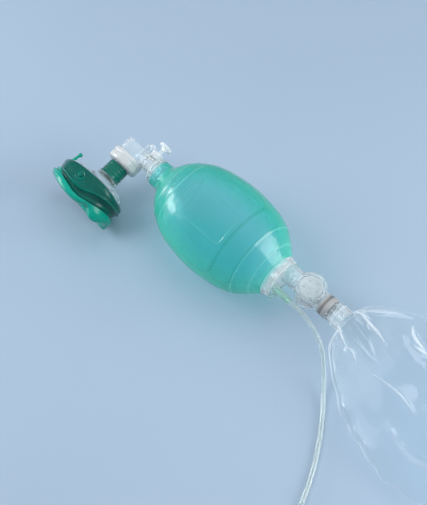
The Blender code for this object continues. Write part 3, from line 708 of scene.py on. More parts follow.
def build_valve_housing():
    """Drum across the mask's axis, with a ribbed arm that runs +X to the bag."""
    drum = [(9.5, 0.0), (9.5, 18.5), (6.9, 18.5), (6.4, 18.1), (-6.0, 18.1), (-6.6, 18.7),
            (-9.1, 18.7), (-9.1, 16.8), (7.6, 16.8), (7.6, 0.0)]
    arm = [(15.0, 0.0), (15.0, 9.2), (36.6, 9.2), (36.6, 13.4), (38.6, 14.6), (40.6, 14.6),
           (40.6, 9.6), (51.0, 9.6), (51.0, 8.8), (53.4, 8.8), (53.4, 9.6), (64.0, 9.6),
           (64.0, 0.0)]
    steps = [(ADD, turned(arm, "X", 80, 0.35))]
    for x in (21.0, 27.4, 33.4):
        steps.append((ADD, rod(x - 0.85, x + 0.85, 11.0, "X", 80, 0.25)))
    for turn in (-34.0, 0.0, 34.0, 146.0, 180.0, 214.0):
        steps.append((ADD, boxed((13.5, -0.8, 6.0), (37.4, 0.8, 11.0)),
                      VALVE @ Matrix.Rotation(math.radians(turn), 4, "X")))
    steps.append((CUT, rod(9.0, 66.0, 7.4, "X", 80)))
    steps.append((CUT, rod(7.58, -12.0, 16.78, "Y", 112)))
    housing = part("valve_shell", "valve_housing", turned(drum, "Y", 112, 0.5), VALVE,
                   "patient_valve", [CLEAR, MILKY], steps)
    to_valve = VALVE.inverted()
    for face in housing.data.polygons:      # ribs and rims are milkier than the thin walls
        x, y, z = to_valve @ (face.center / MM)
        from_arm, from_drum = math.hypot(y, z), math.hypot(x, z)
        rib = 18.6 < x < 37.0 and from_arm > 9.35
        flange = x > 37.0 and from_arm > 12.6
        drum_rim = y > 9.2 and from_drum > 16.4 and x < 15
        face.material_index = int(rib or flange or drum_rim)


def build_o_ring():
    seal = [(52.2 + 0.85 * math.cos(a), 10.2 + 0.85 * math.sin(a)) for a in circle_angles(12)]
    part("o_ring", "swivel_o_ring", turned(seal, "X", 72), VALVE, "patient_valve", SEAL)


def build_exhalation_collar():
    def scallop(along, radius, angle):
        if radius < 21.5:
            return radius
        lobes = smoothstep(-0.2, 0.5, np.cos(angle * 9 + 0.4))
        return radius - (0.25 + 0.65 * smoothstep(-14.0, -20.0, along)) * (1 - lobes)

    profile = [(-9.3, 21.4), (-10.4, 22.7), (-14.6, 22.8), (-15.4, 22.2), (-17.0, 22.2),
               (-18.0, 22.8), (-22.6, 22.7), (-24.4, 21.9), (-26.0, 19.6), (-26.0, 13.4),
               (-24.6, 13.4), (-24.6, 20.4), (-11.0, 20.4), (-11.0, 16.9), (-9.3, 16.9)]
    part("exhaust_collar", "exhalation_collar", turned(profile, "Y", 160, 0.8, shape=scallop),
         VALVE, "patient_valve", FROST, angle=50)


def build_patient_port():
    tube = [(-14.5, 10.3), (-22.2, 10.3), (-22.2, 19.6), (-24.2, 19.6), (-24.2, 11.0),
            (-47.0, 10.65), (-47.0, 7.5), (-14.5, 7.5)]
    part("port_tube", "patient_port", turned(tube, "Y", 96, 0.3), VALVE, "port", CLEAR)

    def beak(along, radius, angle):
        """Flatten the disc's cone into two lips."""
        side = np.abs(np.sin(angle))
        if radius > 1.6 or along > -20:
            return radius * (1 + 0.9 * smoothstep(-14.0, -22.5, along) * side ** 1.5)
        return radius * (1 + 3.0 * side ** 3)

    lips = [(-11.2, 5.2), (-11.2, 15.6), (-12.4, 15.6), (-12.6, 6.6), (-16.0, 6.1),
            (-22.5, 1.7), (-22.5, 0.8), (-15.6, 4.7)]
    part("duckbill_lips", "duckbill_valve", turned(lips, "Y", 72, 0.25, shape=beak), VALVE,
         "duckbill", SILICONE)
    flap = [(-17.4, 11.2), (-16.6, 11.2), (-16.6, 19.4), (-17.4, 19.4)]
    part("exhaust_flap", "exhalation_disc", turned(flap, "Y", 72, 0.25), VALVE,
         "exhalation_valve", SILICONE)


def build_relief_valve():
    centre = (POPOFF_X, 0, 0)

    def ribbed(along, radius, angle):
        if radius > 7.9 and 10.6 < along < 16.9:
            return radius - 0.45 * (0.5 - 0.5 * np.cos(angle * 14))
        return radius

    cup = walled(
        [(9.6, 9.2), (10.9, 9.2), (11.2, 8.5), (16.6, 8.5), (17.0, 8.8), (17.8, 8.8), (18.9, 7.2)],
        [(9.6, 2.9), (11.0, 2.9), (11.0, 6.9), (17.2, 6.9), (17.2, 2.9), (18.9, 2.9)])
    part("relief_body", "popoff_body", turned(cup, "Y", 112, 0.3, centre, ribbed), VALVE,
         "patient_valve", MILKY)
    stem = [(11.3, 0.0), (11.3, 5.6), (12.2, 5.6), (12.2, 2.1), (17.0, 2.1), (18.0, 2.5),
            (29.6, 2.5), (29.6, 0.0)]
    part("relief_stem", "popoff_plunger", turned(stem, "Y", 48, 0.25, centre), VALVE,
         "popoff", MILKY)
    knob = [(30.1, 0.0), (30.1, 2.5), (25.5, 2.5), (25.5, 3.6), (28.6, 4.2), (29.5, 5.0),
            (29.5, 8.6), (30.1, 9.1), (32.2, 9.1), (33.0, 8.4), (33.0, 6.6), (32.3, 6.2),
            (32.3, 0.0)]
    part("relief_knob", "popoff_knob", turned(knob, "Y", 96, 0.35, centre), VALVE,
         "popoff", MILKY)

    coil_radius, coil_start, coil_height, turns, per_turn = 4.0, 12.9, 3.4, 4, 24
    steps = turns * per_turn
    coil = [(POPOFF_X + coil_radius * math.cos(TAU * k / per_turn),
             coil_start + coil_height * k / steps,
             coil_radius * math.sin(TAU * k / per_turn)) for k in range(steps + 1)]
    spring = part("relief_spring", "popoff_spring", wire(coil, radius=0.36, sides=10), VALVE,
                  "patient_valve", STEEL)
    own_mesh(spring)


def build_monitor_port():
    centre = (MONITOR_X, 0, 0)
    stub = walled([(9.8, 3.6), (10.1, 3.6), (10.1, 2.9), (18.6, 2.8)], [(9.8, 1.5), (18.6, 1.5)])
    part("gauge_port", "monitor_port", turned(stub, "Y", 56, 0.25, centre), VALVE,
         "patient_valve", CLEAR)
    loop = walled([(10.35, 4.0), (11.5, 4.0)], [(10.35, 3.2), (11.5, 3.2)])
    part("tether_loop", "cap_tether_ring", turned(loop, "Y", 56, 0.2, centre), VALVE,
         "patient_valve", MILKY)
    cap = [(19.3, 0.0), (19.3, 3.25), (18.2, 3.25), (18.2, 4.1), (21.8, 4.1), (23.0, 3.2),
           (23.5, 1.6), (23.6, 0.0)]
    tether = [
        (ADD, boxed((MONITOR_X - 7.2, 19.4, -1.4), (MONITOR_X - 3.4, 20.5, 1.4), 0.25)),
        (ADD, boxed((MONITOR_X - 7.4, 11.8, -1.5), (MONITOR_X - 6.2, 20.7, 1.5), 0.3)),
    ]
    part("gauge_cap", "monitor_cap", turned(cap, "Y", 56, 0.5, centre), VALVE, "port_cap",
         MILKY, tether)


# ------------------------------------------------------------------ face mask
MASK_DOME = [   # (y, half length, half width, shift along X) of the outside
    (-47.9, 15.3, 15.3, 0.0), (-50.2, 15.4, 15.4, 0.0), (-52.4, 17.2, 16.8, -0.4),
    (-54.4, 23.6, 21.4, -2.0), (-57.6, 35.0, 28.8, -5.0), (-62.0, 42.6, 33.8, -7.2),
    (-66.0, 44.6, 35.2, -7.5), (-70.2, 45.0, 35.6, -7.5),
]
# Lines moulded round the cushion: (x, y), from the nose end at -X to the chin end.
CUSHION_RIM = [(-60, -72.0), (-54, -68.0), (-46, -65.6), (-30, -64.6), (0, -63.6),
               (25, -63.6), (37, -64.6), (45, -66.5)]
CUSHION_SEAM = [(-60, -83.0), (-44, -83.0), (-30, -83.7), (-19, -86.0), (-7, -87.6), (4, -87.4),
                (13, -84.6), (21, -80.0), (33, -76.0), (41, -74.8), (45, -74.6)]
CUSHION_FOLD = [(-60, -88.0), (-44, -88.6), (-30, -89.8), (-19, -92.4), (-12, -94.0),
                (-2, -96.4), (10, -96.6), (25, -92.6), (37, -88.0), (45, -85.6)]
CUSHION_LIP = [(-60, -94.5), (-50, -95.6), (-42, -97.2), (-34, -99.0), (-20, -101.0),
               (-6, -102.6), (3, -103.0), (11, -102.0), (18, -99.8), (23, -97.6), (27, -98.0),
               (31, -102.0), (35, -105.0), (39, -105.2), (42, -102.4), (44, -99.0), (45, -97.0)]
# (x, place along the section) where the lighter lip begins
CUSHION_LIGHT = [(-60, 8.4), (-44, 8.8), (-36, 12.4), (-26, 15.2), (44.5, 15.6)]


def build_mask_cuff():
    profile = [(-27.2, 14.0), (-28.9, 14.1), (-29.5, 14.6), (-32.6, 14.6), (-33.2, 14.15),
               (-34.0, 14.15), (-34.6, 14.65), (-37.6, 14.7), (-38.2, 14.2), (-39.0, 14.2),
               (-39.6, 14.75), (-42.4, 14.8), (-43.0, 14.4), (-44.8, 14.6), (-46.6, 15.4),
               (-47.5, 15.4), (-47.5, 11.35), (-27.2, 11.35)]
    part("connector_cuff", "mask_connector_sleeve", turned(profile, "Y", 112, 0.5), VALVE,
         "mask", CUFF)


def build_mask_dome():
    angle = circle_angles(160)
    outer = [(*station, 0.12 * smoothstep(16, 24, station[1]))      # last: narrowing to the nose
             for station in smooth_curve(MASK_DOME, 30)]
    inner = []
    for k, (y, half_x, half_z, shift, pinch) in enumerate(outer):
        wall = 1.8 if k > 3 else 3.6 - 0.45 * k
        drop = 0.7 if 6 < k < 26 else 0.0
        inner.append((y - drop, half_x - wall, half_z - wall, shift, pinch))
    rows = []
    for y, half_x, half_z, shift, pinch in outer + inner[::-1]:
        z = half_z * np.sin(angle) * (1 - pinch * np.maximum(0, -np.cos(angle)) ** 2)
        rows.append(np.stack([shift + half_x * np.cos(angle), np.full(160, y), z], 1))
    part("mask_shell", "mask_dome", skin(rows), VALVE, "mask", CLEAR_THIN, angle=50)


def closed_spline(keys, steps):
    """Catmull-Rom rows through a closed list of rows."""
    rows = []
    for i, start in enumerate(keys):
        before, end, after = keys[i - 1], keys[(i + 1) % len(keys)], keys[(i + 2) % len(keys)]
        for k in range(steps):
            share = k / steps
            rows.append(0.5 * (
                2 * start + (end - before) * share
                + (2 * before - 5 * start + 4 * end - after) * share**2
                + (3 * start - before - 3 * end + after) * share**3))
    return np.array(rows)


def build_mask_cushion():
    steps = 3
    angle = circle_angles(220)
    cos, sin = np.cos(angle), np.sin(angle)
    x_here = MASK_SHIFT + MASK_A * cos
    rim, seam, fold = (lookup(line, x_here)
                       for line in (CUSHION_RIM, CUSHION_SEAM, CUSHION_FOLD))
    lip = lookup(smooth_curve(CUSHION_LIP, 80), x_here)
    # the table presses the underside of the lip flatter
    middle = smoothstep(-46, -20, x_here) * smoothstep(34, 12, x_here)
    lip = lip - 1.6 * middle * np.maximum(sin, 0) + 5.0 * middle * smoothstep(0.1, -0.7, sin)
    chin = smoothstep(27, 36, x_here)
    lip = lip - 2.0 * chin * np.maximum(sin, 0) + 4.5 * chin * smoothstep(0.1, -0.6, sin)
    bulb = smoothstep(24, 36, x_here)       # the chin end rolls out further
    nose = smoothstep(-38, -56, x_here)     # the nose end is a plump roll
    narrow = 1 - 0.12 * np.maximum(0, -cos) ** 2

    # (y, inset from the mask's outline, extra reach outwards), from the top inner edge
    # over the flank to the lip and back inside
    section = [
        (rim - 4.4, 7.0), (rim - 1.0, 6.4), (rim + 0.3, 5.2), (rim, 4.0), (rim - 0.9, 2.6),
        (rim - 2.6, 1.5), (rim * 0.55 + seam * 0.45, 0.6 + 1.6 * nose),
        (seam + 2.4, 0.9 + 2.2 * nose), (seam + 0.9, 0.35 + 2.2 * nose),
        (seam, -0.45 + 1.6 * nose), (seam - 0.9, 0.3 + 0.4 * nose),
        (seam - 2.2, 1.9 - 0.6 * nose), (seam * 0.5 + fold * 0.5 - 0.6, 2.9 - 2.4 * nose),
        (fold + 1.6, 2.2 - 3.4 * nose), (fold + 0.6, 0.6 - 2.4 * nose),
        (fold - 0.3, -0.2 - 1.9 * nose), (fold - 1.4, -0.3 - 1.3 * nose),
        ((fold + lip) * 0.5 + 0.5, -0.4, bulb), (lip + 1.7, 1.0, bulb),
        (lip + 0.2, 4.0, bulb * 0.8), (lip, 7.0), (lip + 0.9, 10.6), (lip + 2.6, 13.6),
        (lip + 4.8, 15.2), (lip + 7.0, 14.4), (lip + 9.0, 12.0), (lip + 12.0, 10.2),
        (lip * 0.5 + rim * 0.5 - 1.0, 9.3), (rim - 9.2, 9.2), (rim - 7.2, 8.8),
        (rim - 6.4, 7.8),
    ]

    def row(y, inset, extra=0.0):
        x = MASK_SHIFT + (MASK_A - inset) * cos + extra * cos
        z = (MASK_B - inset) * sin * narrow + extra * sin
        return np.stack([x, y, z], 1)

    rows = closed_spline([row(*station) for station in section], steps)
    cushion = mesh_object("cushion", skin(rows), VALVE, angle=75)

    key = (np.arange(len(rows)) / steps)[:, None]       # place along the section
    border = lookup(CUSHION_LIGHT, x_here)
    light_lip = smoothstep(border - 0.5, border + 0.8, key) * (1 - smoothstep(22.0, 24.0, key))
    # painted shade in the grooves below the seam and at the fold; painted highlight along the seam
    # bead and the rim's top
    groove_painted_shade = (0.38 * bell(key - 11.6, 0.55) * smoothstep(-44, -30, x_here)
               + 0.42 * bell(key - 13.6, 0.6) * smoothstep(-34, -22, x_here))
    ridge_painted_highlight = 0.30 * bell(key - 9.0, 0.45) + 0.2 * bell(key - 2.6, 0.5)
    paint(cushion, "tone_and_painted_light", np.clip(0.5 + 0.42 * light_lip - groove_painted_shade + ridge_painted_highlight, 0, 1))
    for vertex in cushion.data.vertices:        # it rests on the table
        vertex.co.z = max(vertex.co.z, (BASE.z + TABLE_Z + 0.1) * MM)
    put(cushion, "mask", CUSHION, "mask_cushion")


def build_mask_fittings():
    """Inflation tube with its plug, and a strap peg on each side."""
    stub = [(0.6, 2.8), (1.6, 2.8), (2.6, 2.0), (13.0, 1.9), (13.0, 1.1), (0.6, 1.1)]
    part("inflation_stub", "mask_inflation_tube", turned(stub, "Y", 40, 0.3), STUB, "mask",
         MASK_LIGHT)
    plug = [(8.9, 0.0), (8.9, 0.75), (13.3, 0.75), (13.3, 2.1), (14.4, 2.7), (16.6, 2.7),
            (17.7, 1.9), (18.0, 0.0)]
    part("inflation_cap", "mask_inflation_plug", turned(plug, "Y", 40, 0.6), STUB,
         "inflation_plug", MASK_LIGHT)

    peg_root = MASK_B - 1.6
    peg = [(0.0, 0.0), (0.0, 7.0), (1.6, 6.8), (2.1, 6.2), (1.5, 5.4), (1.1, 3.2), (1.6, 2.3),
           (4.2, 2.0), (5.2, 2.7), (6.0, 2.4), (6.3, 0.0)]
    for name, node, side in (("head_strap_peg_a", "strap_peg_near", 1.0),
                             ("head_strap_peg_b", "strap_peg_far", -1.0)):
        profile = [((peg_root + along) * side, radius) for along, radius in peg]
        centre = (MASK_SHIFT - 0.5, -76.0, 0.0)
        part(name, node, turned(profile, "Z", 48, 0.5, centre), VALVE, "mask", MASK, angle=60)


# ------------------------------------------------------------------ intake valve
def drilled(start, end, radius, axis, segments, circle, count, phase=0.0):
    """Steps that cut a ring of holes on a circle round the axis."""
    _, first_way, second_way = axis_ways(axis)
    steps = []
    for k in range(count):
        angle = TAU * (k + phase) / count
        centre = circle * (math.cos(angle) * first_way + math.sin(angle) * second_way)
        steps.append((CUT, rod(start, end, radius, axis, segments, centre=centre)))
    return steps


def build_rear_collar():
    def lugs(along, radius, angle):
        if radius < 27.5 or not 90.0 < along < 98.6:
            return radius
        return radius + 0.9 * smoothstep(0.55, 0.8, np.cos(angle * 8)) - 0.7

    profile = [(86.9, 28.6), (87.6, 29.6), (89.4, 29.6), (90.2, 28.7), (92.4, 28.7),
               (93.0, 28.2), (97.6, 28.2), (98.8, 27.4), (98.8, 26.4), (86.9, 26.4)]
    part("mouth_ring", "rear_collar", turned(profile, "X", 192, 0.35, shape=lugs), BAG,
         "bag_assembly", CLEAR)


def build_intake():
    cup = [(93.6, 0.0), (93.6, 23.6), (80.0, 23.6), (80.0, 25.9), (96.4, 25.9), (96.4, 0.0)]
    neck = [(95.0, 0.0), (95.0, 12.8), (104.5, 12.8), (105.2, 13.3), (107.0, 13.3),
            (107.7, 12.8), (111.8, 12.8), (111.8, 0.0)]
    barb = [(95.0, 0.0), (95.0, 3.2), (104.0, 3.2), (104.6, 3.35), (107.6, 3.0),
            (108.2, 3.35), (112.0, 2.6), (112.0, 0.0)]
    neck_centre, nozzle_centre = (0, REAR_Y, 0), (0, NOZZLE_Y, 0)
    part("intake_cup", "intake_housing", turned(cup, "X", 112, 0.4), BAG, "bag_assembly",
         CLEAR, [
             (ADD, turned(neck, "X", 80, 0.35, neck_centre)),
             (ADD, turned(barb, "X", 40, 0.2, nozzle_centre)),
             (ADD, boxed((95.0, -8.0, -0.9), (103.0, 3.0, 0.9))),
             (CUT, rod(90.0, 114.0, 10.5, "X", 80, centre=neck_centre)),
             (CUT, rod(90.0, 114.0, 1.4, "X", 24, centre=nozzle_centre)),
         ])

    stud = [(84.0, 0.0), (84.0, 2.6), (85.2, 2.6), (85.2, 1.3), (90.0, 1.3), (90.0, 0.0)]
    holes = drilled(86.0, 93.0, 4.2, "X", 32, circle=10.5, count=5, phase=0.25)
    part("intake_grid", "intake_seat", rod(88.9, 91.0, 23.2, "X", 80, 0.3), BAG,
         "bag_assembly", CLEAR, [(ADD, turned(stud, "X", 24, 0.2))] + holes)
    flap = walled([(87.4, 17.5), (88.5, 17.5)], [(87.4, 1.8), (88.5, 1.8)])
    part("intake_flap", "intake_disc", turned(flap, "X", 72, 0.3), BAG, "intake_valve", SILICONE)


# ------------------------------------------------------------------ reservoir chamber
def build_chamber():
    """Clear upright drum with sockets at its -X and +X sides."""
    drum = [(-13.0, 0.0), (-13.0, 18.6), (-12.0, 19.2), (-9.6, 19.2), (-8.9, 18.8),
            (8.6, 18.8), (9.4, 19.4), (13.0, 19.4), (13.0, 0.0)]
    sockets = [(-29.0, 0.0), (-29.0, 10.1), (-19.6, 10.1), (-19.6, 12.9), (0.0, 12.9),
               (20.6, 12.9), (21.4, 12.6), (34.6, 12.6), (34.6, 0.0)]
    bore = [(-31.0, 0.0), (-31.0, 8.6), (-17.5, 8.6), (-16.5, 7.2), (8.0, 7.2), (16.0, 10.2),
            (36.0, 10.2), (36.0, 0.0)]
    steps = [(ADD, turned(sockets, "X", 80, 0.3)), (CUT, turned(bore, "X", 72))]
    for side in (1.0, -1.0):
        steps.append((CUT, rod(9.2 * side, 15.0 * side, 17.2, "Z", 120)))
    steps += drilled(-12.0, 12.0, 2.4, "Z", 24, circle=6.5, count=4, phase=0.5)
    part("chamber_drum", "reservoir_chamber", turned(drum, "Z", 120, 0.4), CHAMBER,
         "bag_assembly", CLEAR, steps)


def build_chamber_valves():
    cover = [(13.3, 0.0), (13.3, 18.9), (14.9, 18.9), (15.5, 18.2), (15.5, 16.6), (14.8, 16.0),
             (14.8, 3.0), (15.5, 2.2), (15.6, 0.0)]
    for name, node, side in (("inlet_cover", "chamber_top_cover", 1.0),
                             ("overflow_cover", "chamber_bottom_cover", -1.0)):
        profile = [(along * side, radius) for along, radius in cover]
        holes = drilled(12.5 * side, 16.5 * side, 2.0, "Z", 28, circle=9.0, count=5)
        part(name, node, turned(profile, "Z", 120, 0.3), CHAMBER, "bag_assembly",
             CLEAR_THIN, holes)
    flap = [(11.5, 0.0), (11.5, 14.6), (12.1, 14.8), (12.7, 14.4), (12.7, 11.6), (12.3, 11.2),
            (12.3, 4.2), (12.9, 2.6), (12.95, 0.0)]
    part("inlet_flap", "air_inlet_disc", turned(flap, "Z", 96, 0.25), CHAMBER,
         "air_inlet_valve", DISC)
    part("overflow_flap", "overflow_disc", rod(-10.7, -9.6, 14.6, "Z", 96, 0.25), CHAMBER,
         "overflow_valve", DISC)


def build_coupling():
    sleeve = [(153.6, 13.9), (154.1, 14.2), (156.6, 14.2), (156.61, 14.2), (160.2, 14.2),
              (160.7, 14.6), (165.8, 14.6), (166.4, 14.1), (166.4, 13.0), (153.6, 13.0)]
    band = part("coupling_band", "coupling_sleeve", turned(sleeve, "X", 112, 0.3), REAR,
                "bag_assembly", [GREY, GREY_PAINTED_SHADE])
    to_rear = REAR.inverted()
    # painted shade: the middle of the sleeve takes the darker grey
    for face in band.data.polygons:     # a darker stripe round the sleeve
        face.material_index = int(156.6 < (to_rear @ (face.center / MM)).x < 160.4)


def build_reservoir_connector():
    """Ribbed drum that the film is gathered on, with a cross and a ring inside."""
    drum = [(153.0, 9.8), (166.9, 9.8), (166.9, 13.9), (169.2, 13.9), (169.8, 13.4),
            (188.6, 13.4), (188.6, 11.7), (168.9, 11.7), (168.9, 7.8), (153.0, 7.8)]
    hub = walled([(174.0, 5.6), (184.5, 5.6)], [(174.0, 4.4), (184.5, 4.4)])
    part("film_connector", "reservoir_connector", turned(drum, "X", 96, 0.3), REAR,
         "reservoir", CLEAR, [
             (ADD, boxed((172.0, -12.4, -0.8), (183.0, 12.4, 0.8))),
             (ADD, boxed((172.3, -0.9, -12.5), (182.7, 0.9, 12.5))),
             (ADD, turned(hub, "X", 48, 0.2)),
         ])


# ------------------------------------------------------------------ film reservoir
FILM_START, FILM_END = 189.0, 432.0
# (x, value) along the film bag, in the rear frame
FILM_HALF_WIDTH = [
    (FILM_START, 13.0), (191.5, 26.0), (195.0, 36.0), (203.0, 45.0), (212.0, 53.0),
    (228.0, 67.0), (246.0, 78.5), (270.0, 92.0), (300.0, 103.0), (340.0, 107.0),
    (400.0, 107.0), (424.0, 106.0), (FILM_END, 103.0)]
FILM_HALF_THICKNESS = [
    (FILM_START, 12.6), (195.0, 12.5), (212.0, 13.5), (260.0, 16.0), (330.0, 16.0),
    (390.0, 11.0), (424.0, 3.6), (FILM_END, 1.6)]
FILM_HEIGHT = [
    (FILM_START, 0.0), (196.0, -1.5), (212.0, -7.0), (260.0, -28.0), (320.0, -46.0),
    (390.0, -53.0), (FILM_END, -62.0)]
FILM_DRIFT = [(FILM_START, 0.0), (212.0, 0.5), (246.0, 4.0), (300.0, 9.0), (FILM_END, 12.0)]
# the whiteness column is a painted highlight along each fold, with some stress whitening
CREASES = [     # folds: ((x, y) points in the plane, height, width, whiteness)
    ([(188, 11), (199, 16.5), (213, 16.0), (227, 16.0), (243, 13.5)], 3.4, 2.6, 1.0),
    ([(196, 15.0), (203, 20.0), (209, 22.5)], 1.8, 1.6, 0.85),
    ([(209, 15.5), (214, 11.5), (220, 12.5)], 1.5, 1.5, 0.8),
    ([(190, -14), (198, -20.0), (206, -23.5), (212, -26.5)], 2.6, 2.0, 0.9),
    ([(212, -26.5), (214, -33.0)], 1.6, 1.8, 0.8),
    ([(212, -26.5), (220, -24.0), (231, -30.0)], 1.8, 1.8, 0.6),
    ([(247, 57.0), (256, 48.5), (268, 47.0), (281, 50.0)], 3.2, 3.0, 1.0),
    ([(262, 40.0), (274, 43.0), (288, 51.0)], 2.2, 2.4, 0.8),
    ([(251, -24.0), (272, -20.0), (296, -16.5), (325, -20.0)], 2.2, 3.0, 0.45),
    ([(189, 2), (215, 0), (240, -6)], 1.4, 3.0, 0.2),
    ([(188, 12), (208, 36), (224, 54), (240, 68)], 2.4, 3.0, 0.5),
    ([(189, -8), (230, -14), (262, -8)], 1.2, 3.0, 0.15),
    ([(300, 55), (340, 62), (380, 48)], 2.6, 6.0, 0.25),
    ([(310, -55), (350, -60), (395, -42)], 2.6, 6.0, 0.25),
    ([(330, 15), (365, 5), (400, 12)], 2.2, 5.0, 0.25),
    ([(398, -80), (402, -20), (397, 40), (404, 90)], 1.6, 4.0, 0.2),
]


def crease_field(x, y):
    """Height of the folds and their whiteness, a painted highlight, at one x, for an array of y.
    """
    height, white = np.zeros_like(y), np.zeros_like(y)
    for points, tall, wide, pale in CREASES:
        line = smooth_curve(points, 24)
        nearest, along = np.full(y.shape, 1e9), np.zeros_like(y)
        for k, (start, end) in enumerate(zip(line, line[1:])):
            run = end - start
            share = ((x - start[0]) * run[0] + (y - start[1]) * run[1]) / (run @ run)
            share = np.clip(share, 0, 1)
            away = np.hypot(x - start[0] - share * run[0], y - start[1] - share * run[1])
            along = np.where(away < nearest, (k + share) / 23, along)
            nearest = np.minimum(away, nearest)
        taper = np.sin(np.pi * np.clip(along * 0.86 + 0.12, 0, 1)) ** 0.7
        width = wide * (0.45 + 0.75 * taper)
        height += tall * taper * (1.35 * bell(nearest, width) - 0.45 * bell(nearest, 2.4 * width))
        white = np.maximum(white, pale * taper * bell(nearest, 0.62 * width))
    return height, white


def gathered_row(x, angle):
    """Loop of film pleated round the connector, and its whiteness: painted highlight on the pleat
    crests, and a whiter hem.
    """
    pleat = 0.28 * np.cos(angle * 17) + 0.2 * np.cos(angle * 29 + 1.0)
    hem = x < 178
    radius = 14.35 + pleat + (0.35 if hem else 0.0)
    row = np.stack([np.full(len(angle), x), radius * np.cos(angle), radius * np.sin(angle)], 1)
    return row, 0.12 + 0.5 * np.clip(pleat, 0, 1) + (0.45 if x < 178.5 else 0.0)


def film_row(x, angle):
    """Loop of the slack film bag, and its whiteness: painted highlight along the creases, and a
    whiter seam.
    """
    cos, sin = np.cos(angle), np.sin(angle)
    half_width, half_thickness, height, drift = (
        float(lookup(table, x))
        for table in (FILM_HALF_WIDTH, FILM_HALF_THICKNESS, FILM_HEIGHT, FILM_DRIFT))
    near = math.exp(-(x - FILM_START) / 7.0)        # fades away from the connector
    half_thickness += 1.6 * near
    half_width += 1.3 * near
    # the outline waves gently, as the slack edge of a film bag does
    wave = 1 + (1 - near) * (0.018 * np.sin(x * 0.085 + 2.0 * np.sign(cos))
                             + 0.012 * np.sin(x * 0.21 + np.sign(cos)))
    y = drift + half_width * cos * wave
    z = height + half_thickness * np.sign(sin) * np.abs(sin) ** 1.15
    top = np.clip(sin * 4, 0, 1)
    fold, white = crease_field(x, y)
    ripple = (0.9 * np.sin(x * 0.075 + y * 0.035) + 0.8 * np.sin(x * 0.11 - y * 0.06 + 1.3)
              + 0.6 * np.sin(x * 0.03 + y * 0.13 + 2.0))
    ripple *= np.clip(sin * 3, -1, 1) * min(1.0, half_thickness / 8.0)
    z = np.maximum(z + (fold * top + ripple) * (1 - near), TABLE_Z + 0.3)
    seam = 0.36 * bell(sin, 0.07)
    return np.stack([np.full(len(angle), x), y, z], 1), np.clip(white * top + seam, 0, 1)


def build_film():
    segments = 300
    angle = circle_angles(segments)
    stations = [gathered_row(x, angle) for x in np.linspace(176.5, 188.0, 10)]
    stations += [film_row(x, angle) for x in
                 FILM_START + (FILM_END - FILM_START) * np.linspace(0, 1, 210) ** 1.35]
    rows, whiteness = (list(column) for column in zip(*stations))
    weld = rows[-1].copy()          # welded strip at the far end
    weld[:, 2] = TABLE_Z + 2.0 + 0.25 * np.sign(np.sin(angle))
    weld[:, 0] += 1.0
    rows.append(weld)
    whiteness.append(np.full(segments, 0.6))
    verts, faces = skin(rows, wrap_rows=False)
    faces.append(list(range(len(verts) - segments, len(verts))))
    film = mesh_object("film_bag", (verts, faces), REAR, angle=80)
    # painted highlight along the creases and pleats, with some stress whitening
    paint(film, "crease_highlight_and_whitening", np.concatenate(whiteness))
    put(film, "reservoir", FILM, "reservoir_bag")


# ------------------------------------------------------------------ oxygen tube
TUBE_FLOOR = TABLE_Z + TUBE_RADIUS      # height of a tube that lies on the table
TUBE_END_Z = TABLE_Z + 6.6
COIL_TURNS, COIL_STEPS = 2.5, 24        # steps are per turn
COIL_CENTRE = np.array([400.0, -235.0])
TUBE_LEAD = [   # (x, y, z) from the nozzle to the coil
    (112.6, NOZZLE_Y, 0.0), (124.0, NOZZLE_Y, 0.0), (137.0, -14.8, -1.0), (150.0, -15.0, -5.0),
    (172.0, -17.5, -17.0), (192.0, -26.0, -33.5), (206.0, -38.0, -47.5),
    (221.0, -54.0, -57.5), (238.0, -74.0, -61.6), (262.0, -108.0, TUBE_FLOOR),
    (285.0, -150.0, TUBE_FLOOR), (303.0, -200.0, TUBE_FLOOR), (311.0, -242.0, TUBE_FLOOR),
]


def coil_point(turn):
    """Point of the flat coil; its last half turn bends inwards and rises."""
    inward = max(0.0, (turn - COIL_TURNS + 0.5) / 0.5) ** 2
    angle = math.radians(203.0) + TAU * turn
    radius = 92.0 - 13.0 * turn - 20.0 * inward
    x, y = COIL_CENTRE + radius * np.array([math.cos(angle), math.sin(angle)])
    return np.array([x, y, TUBE_FLOOR + (TUBE_END_Z - TUBE_FLOOR) * inward])


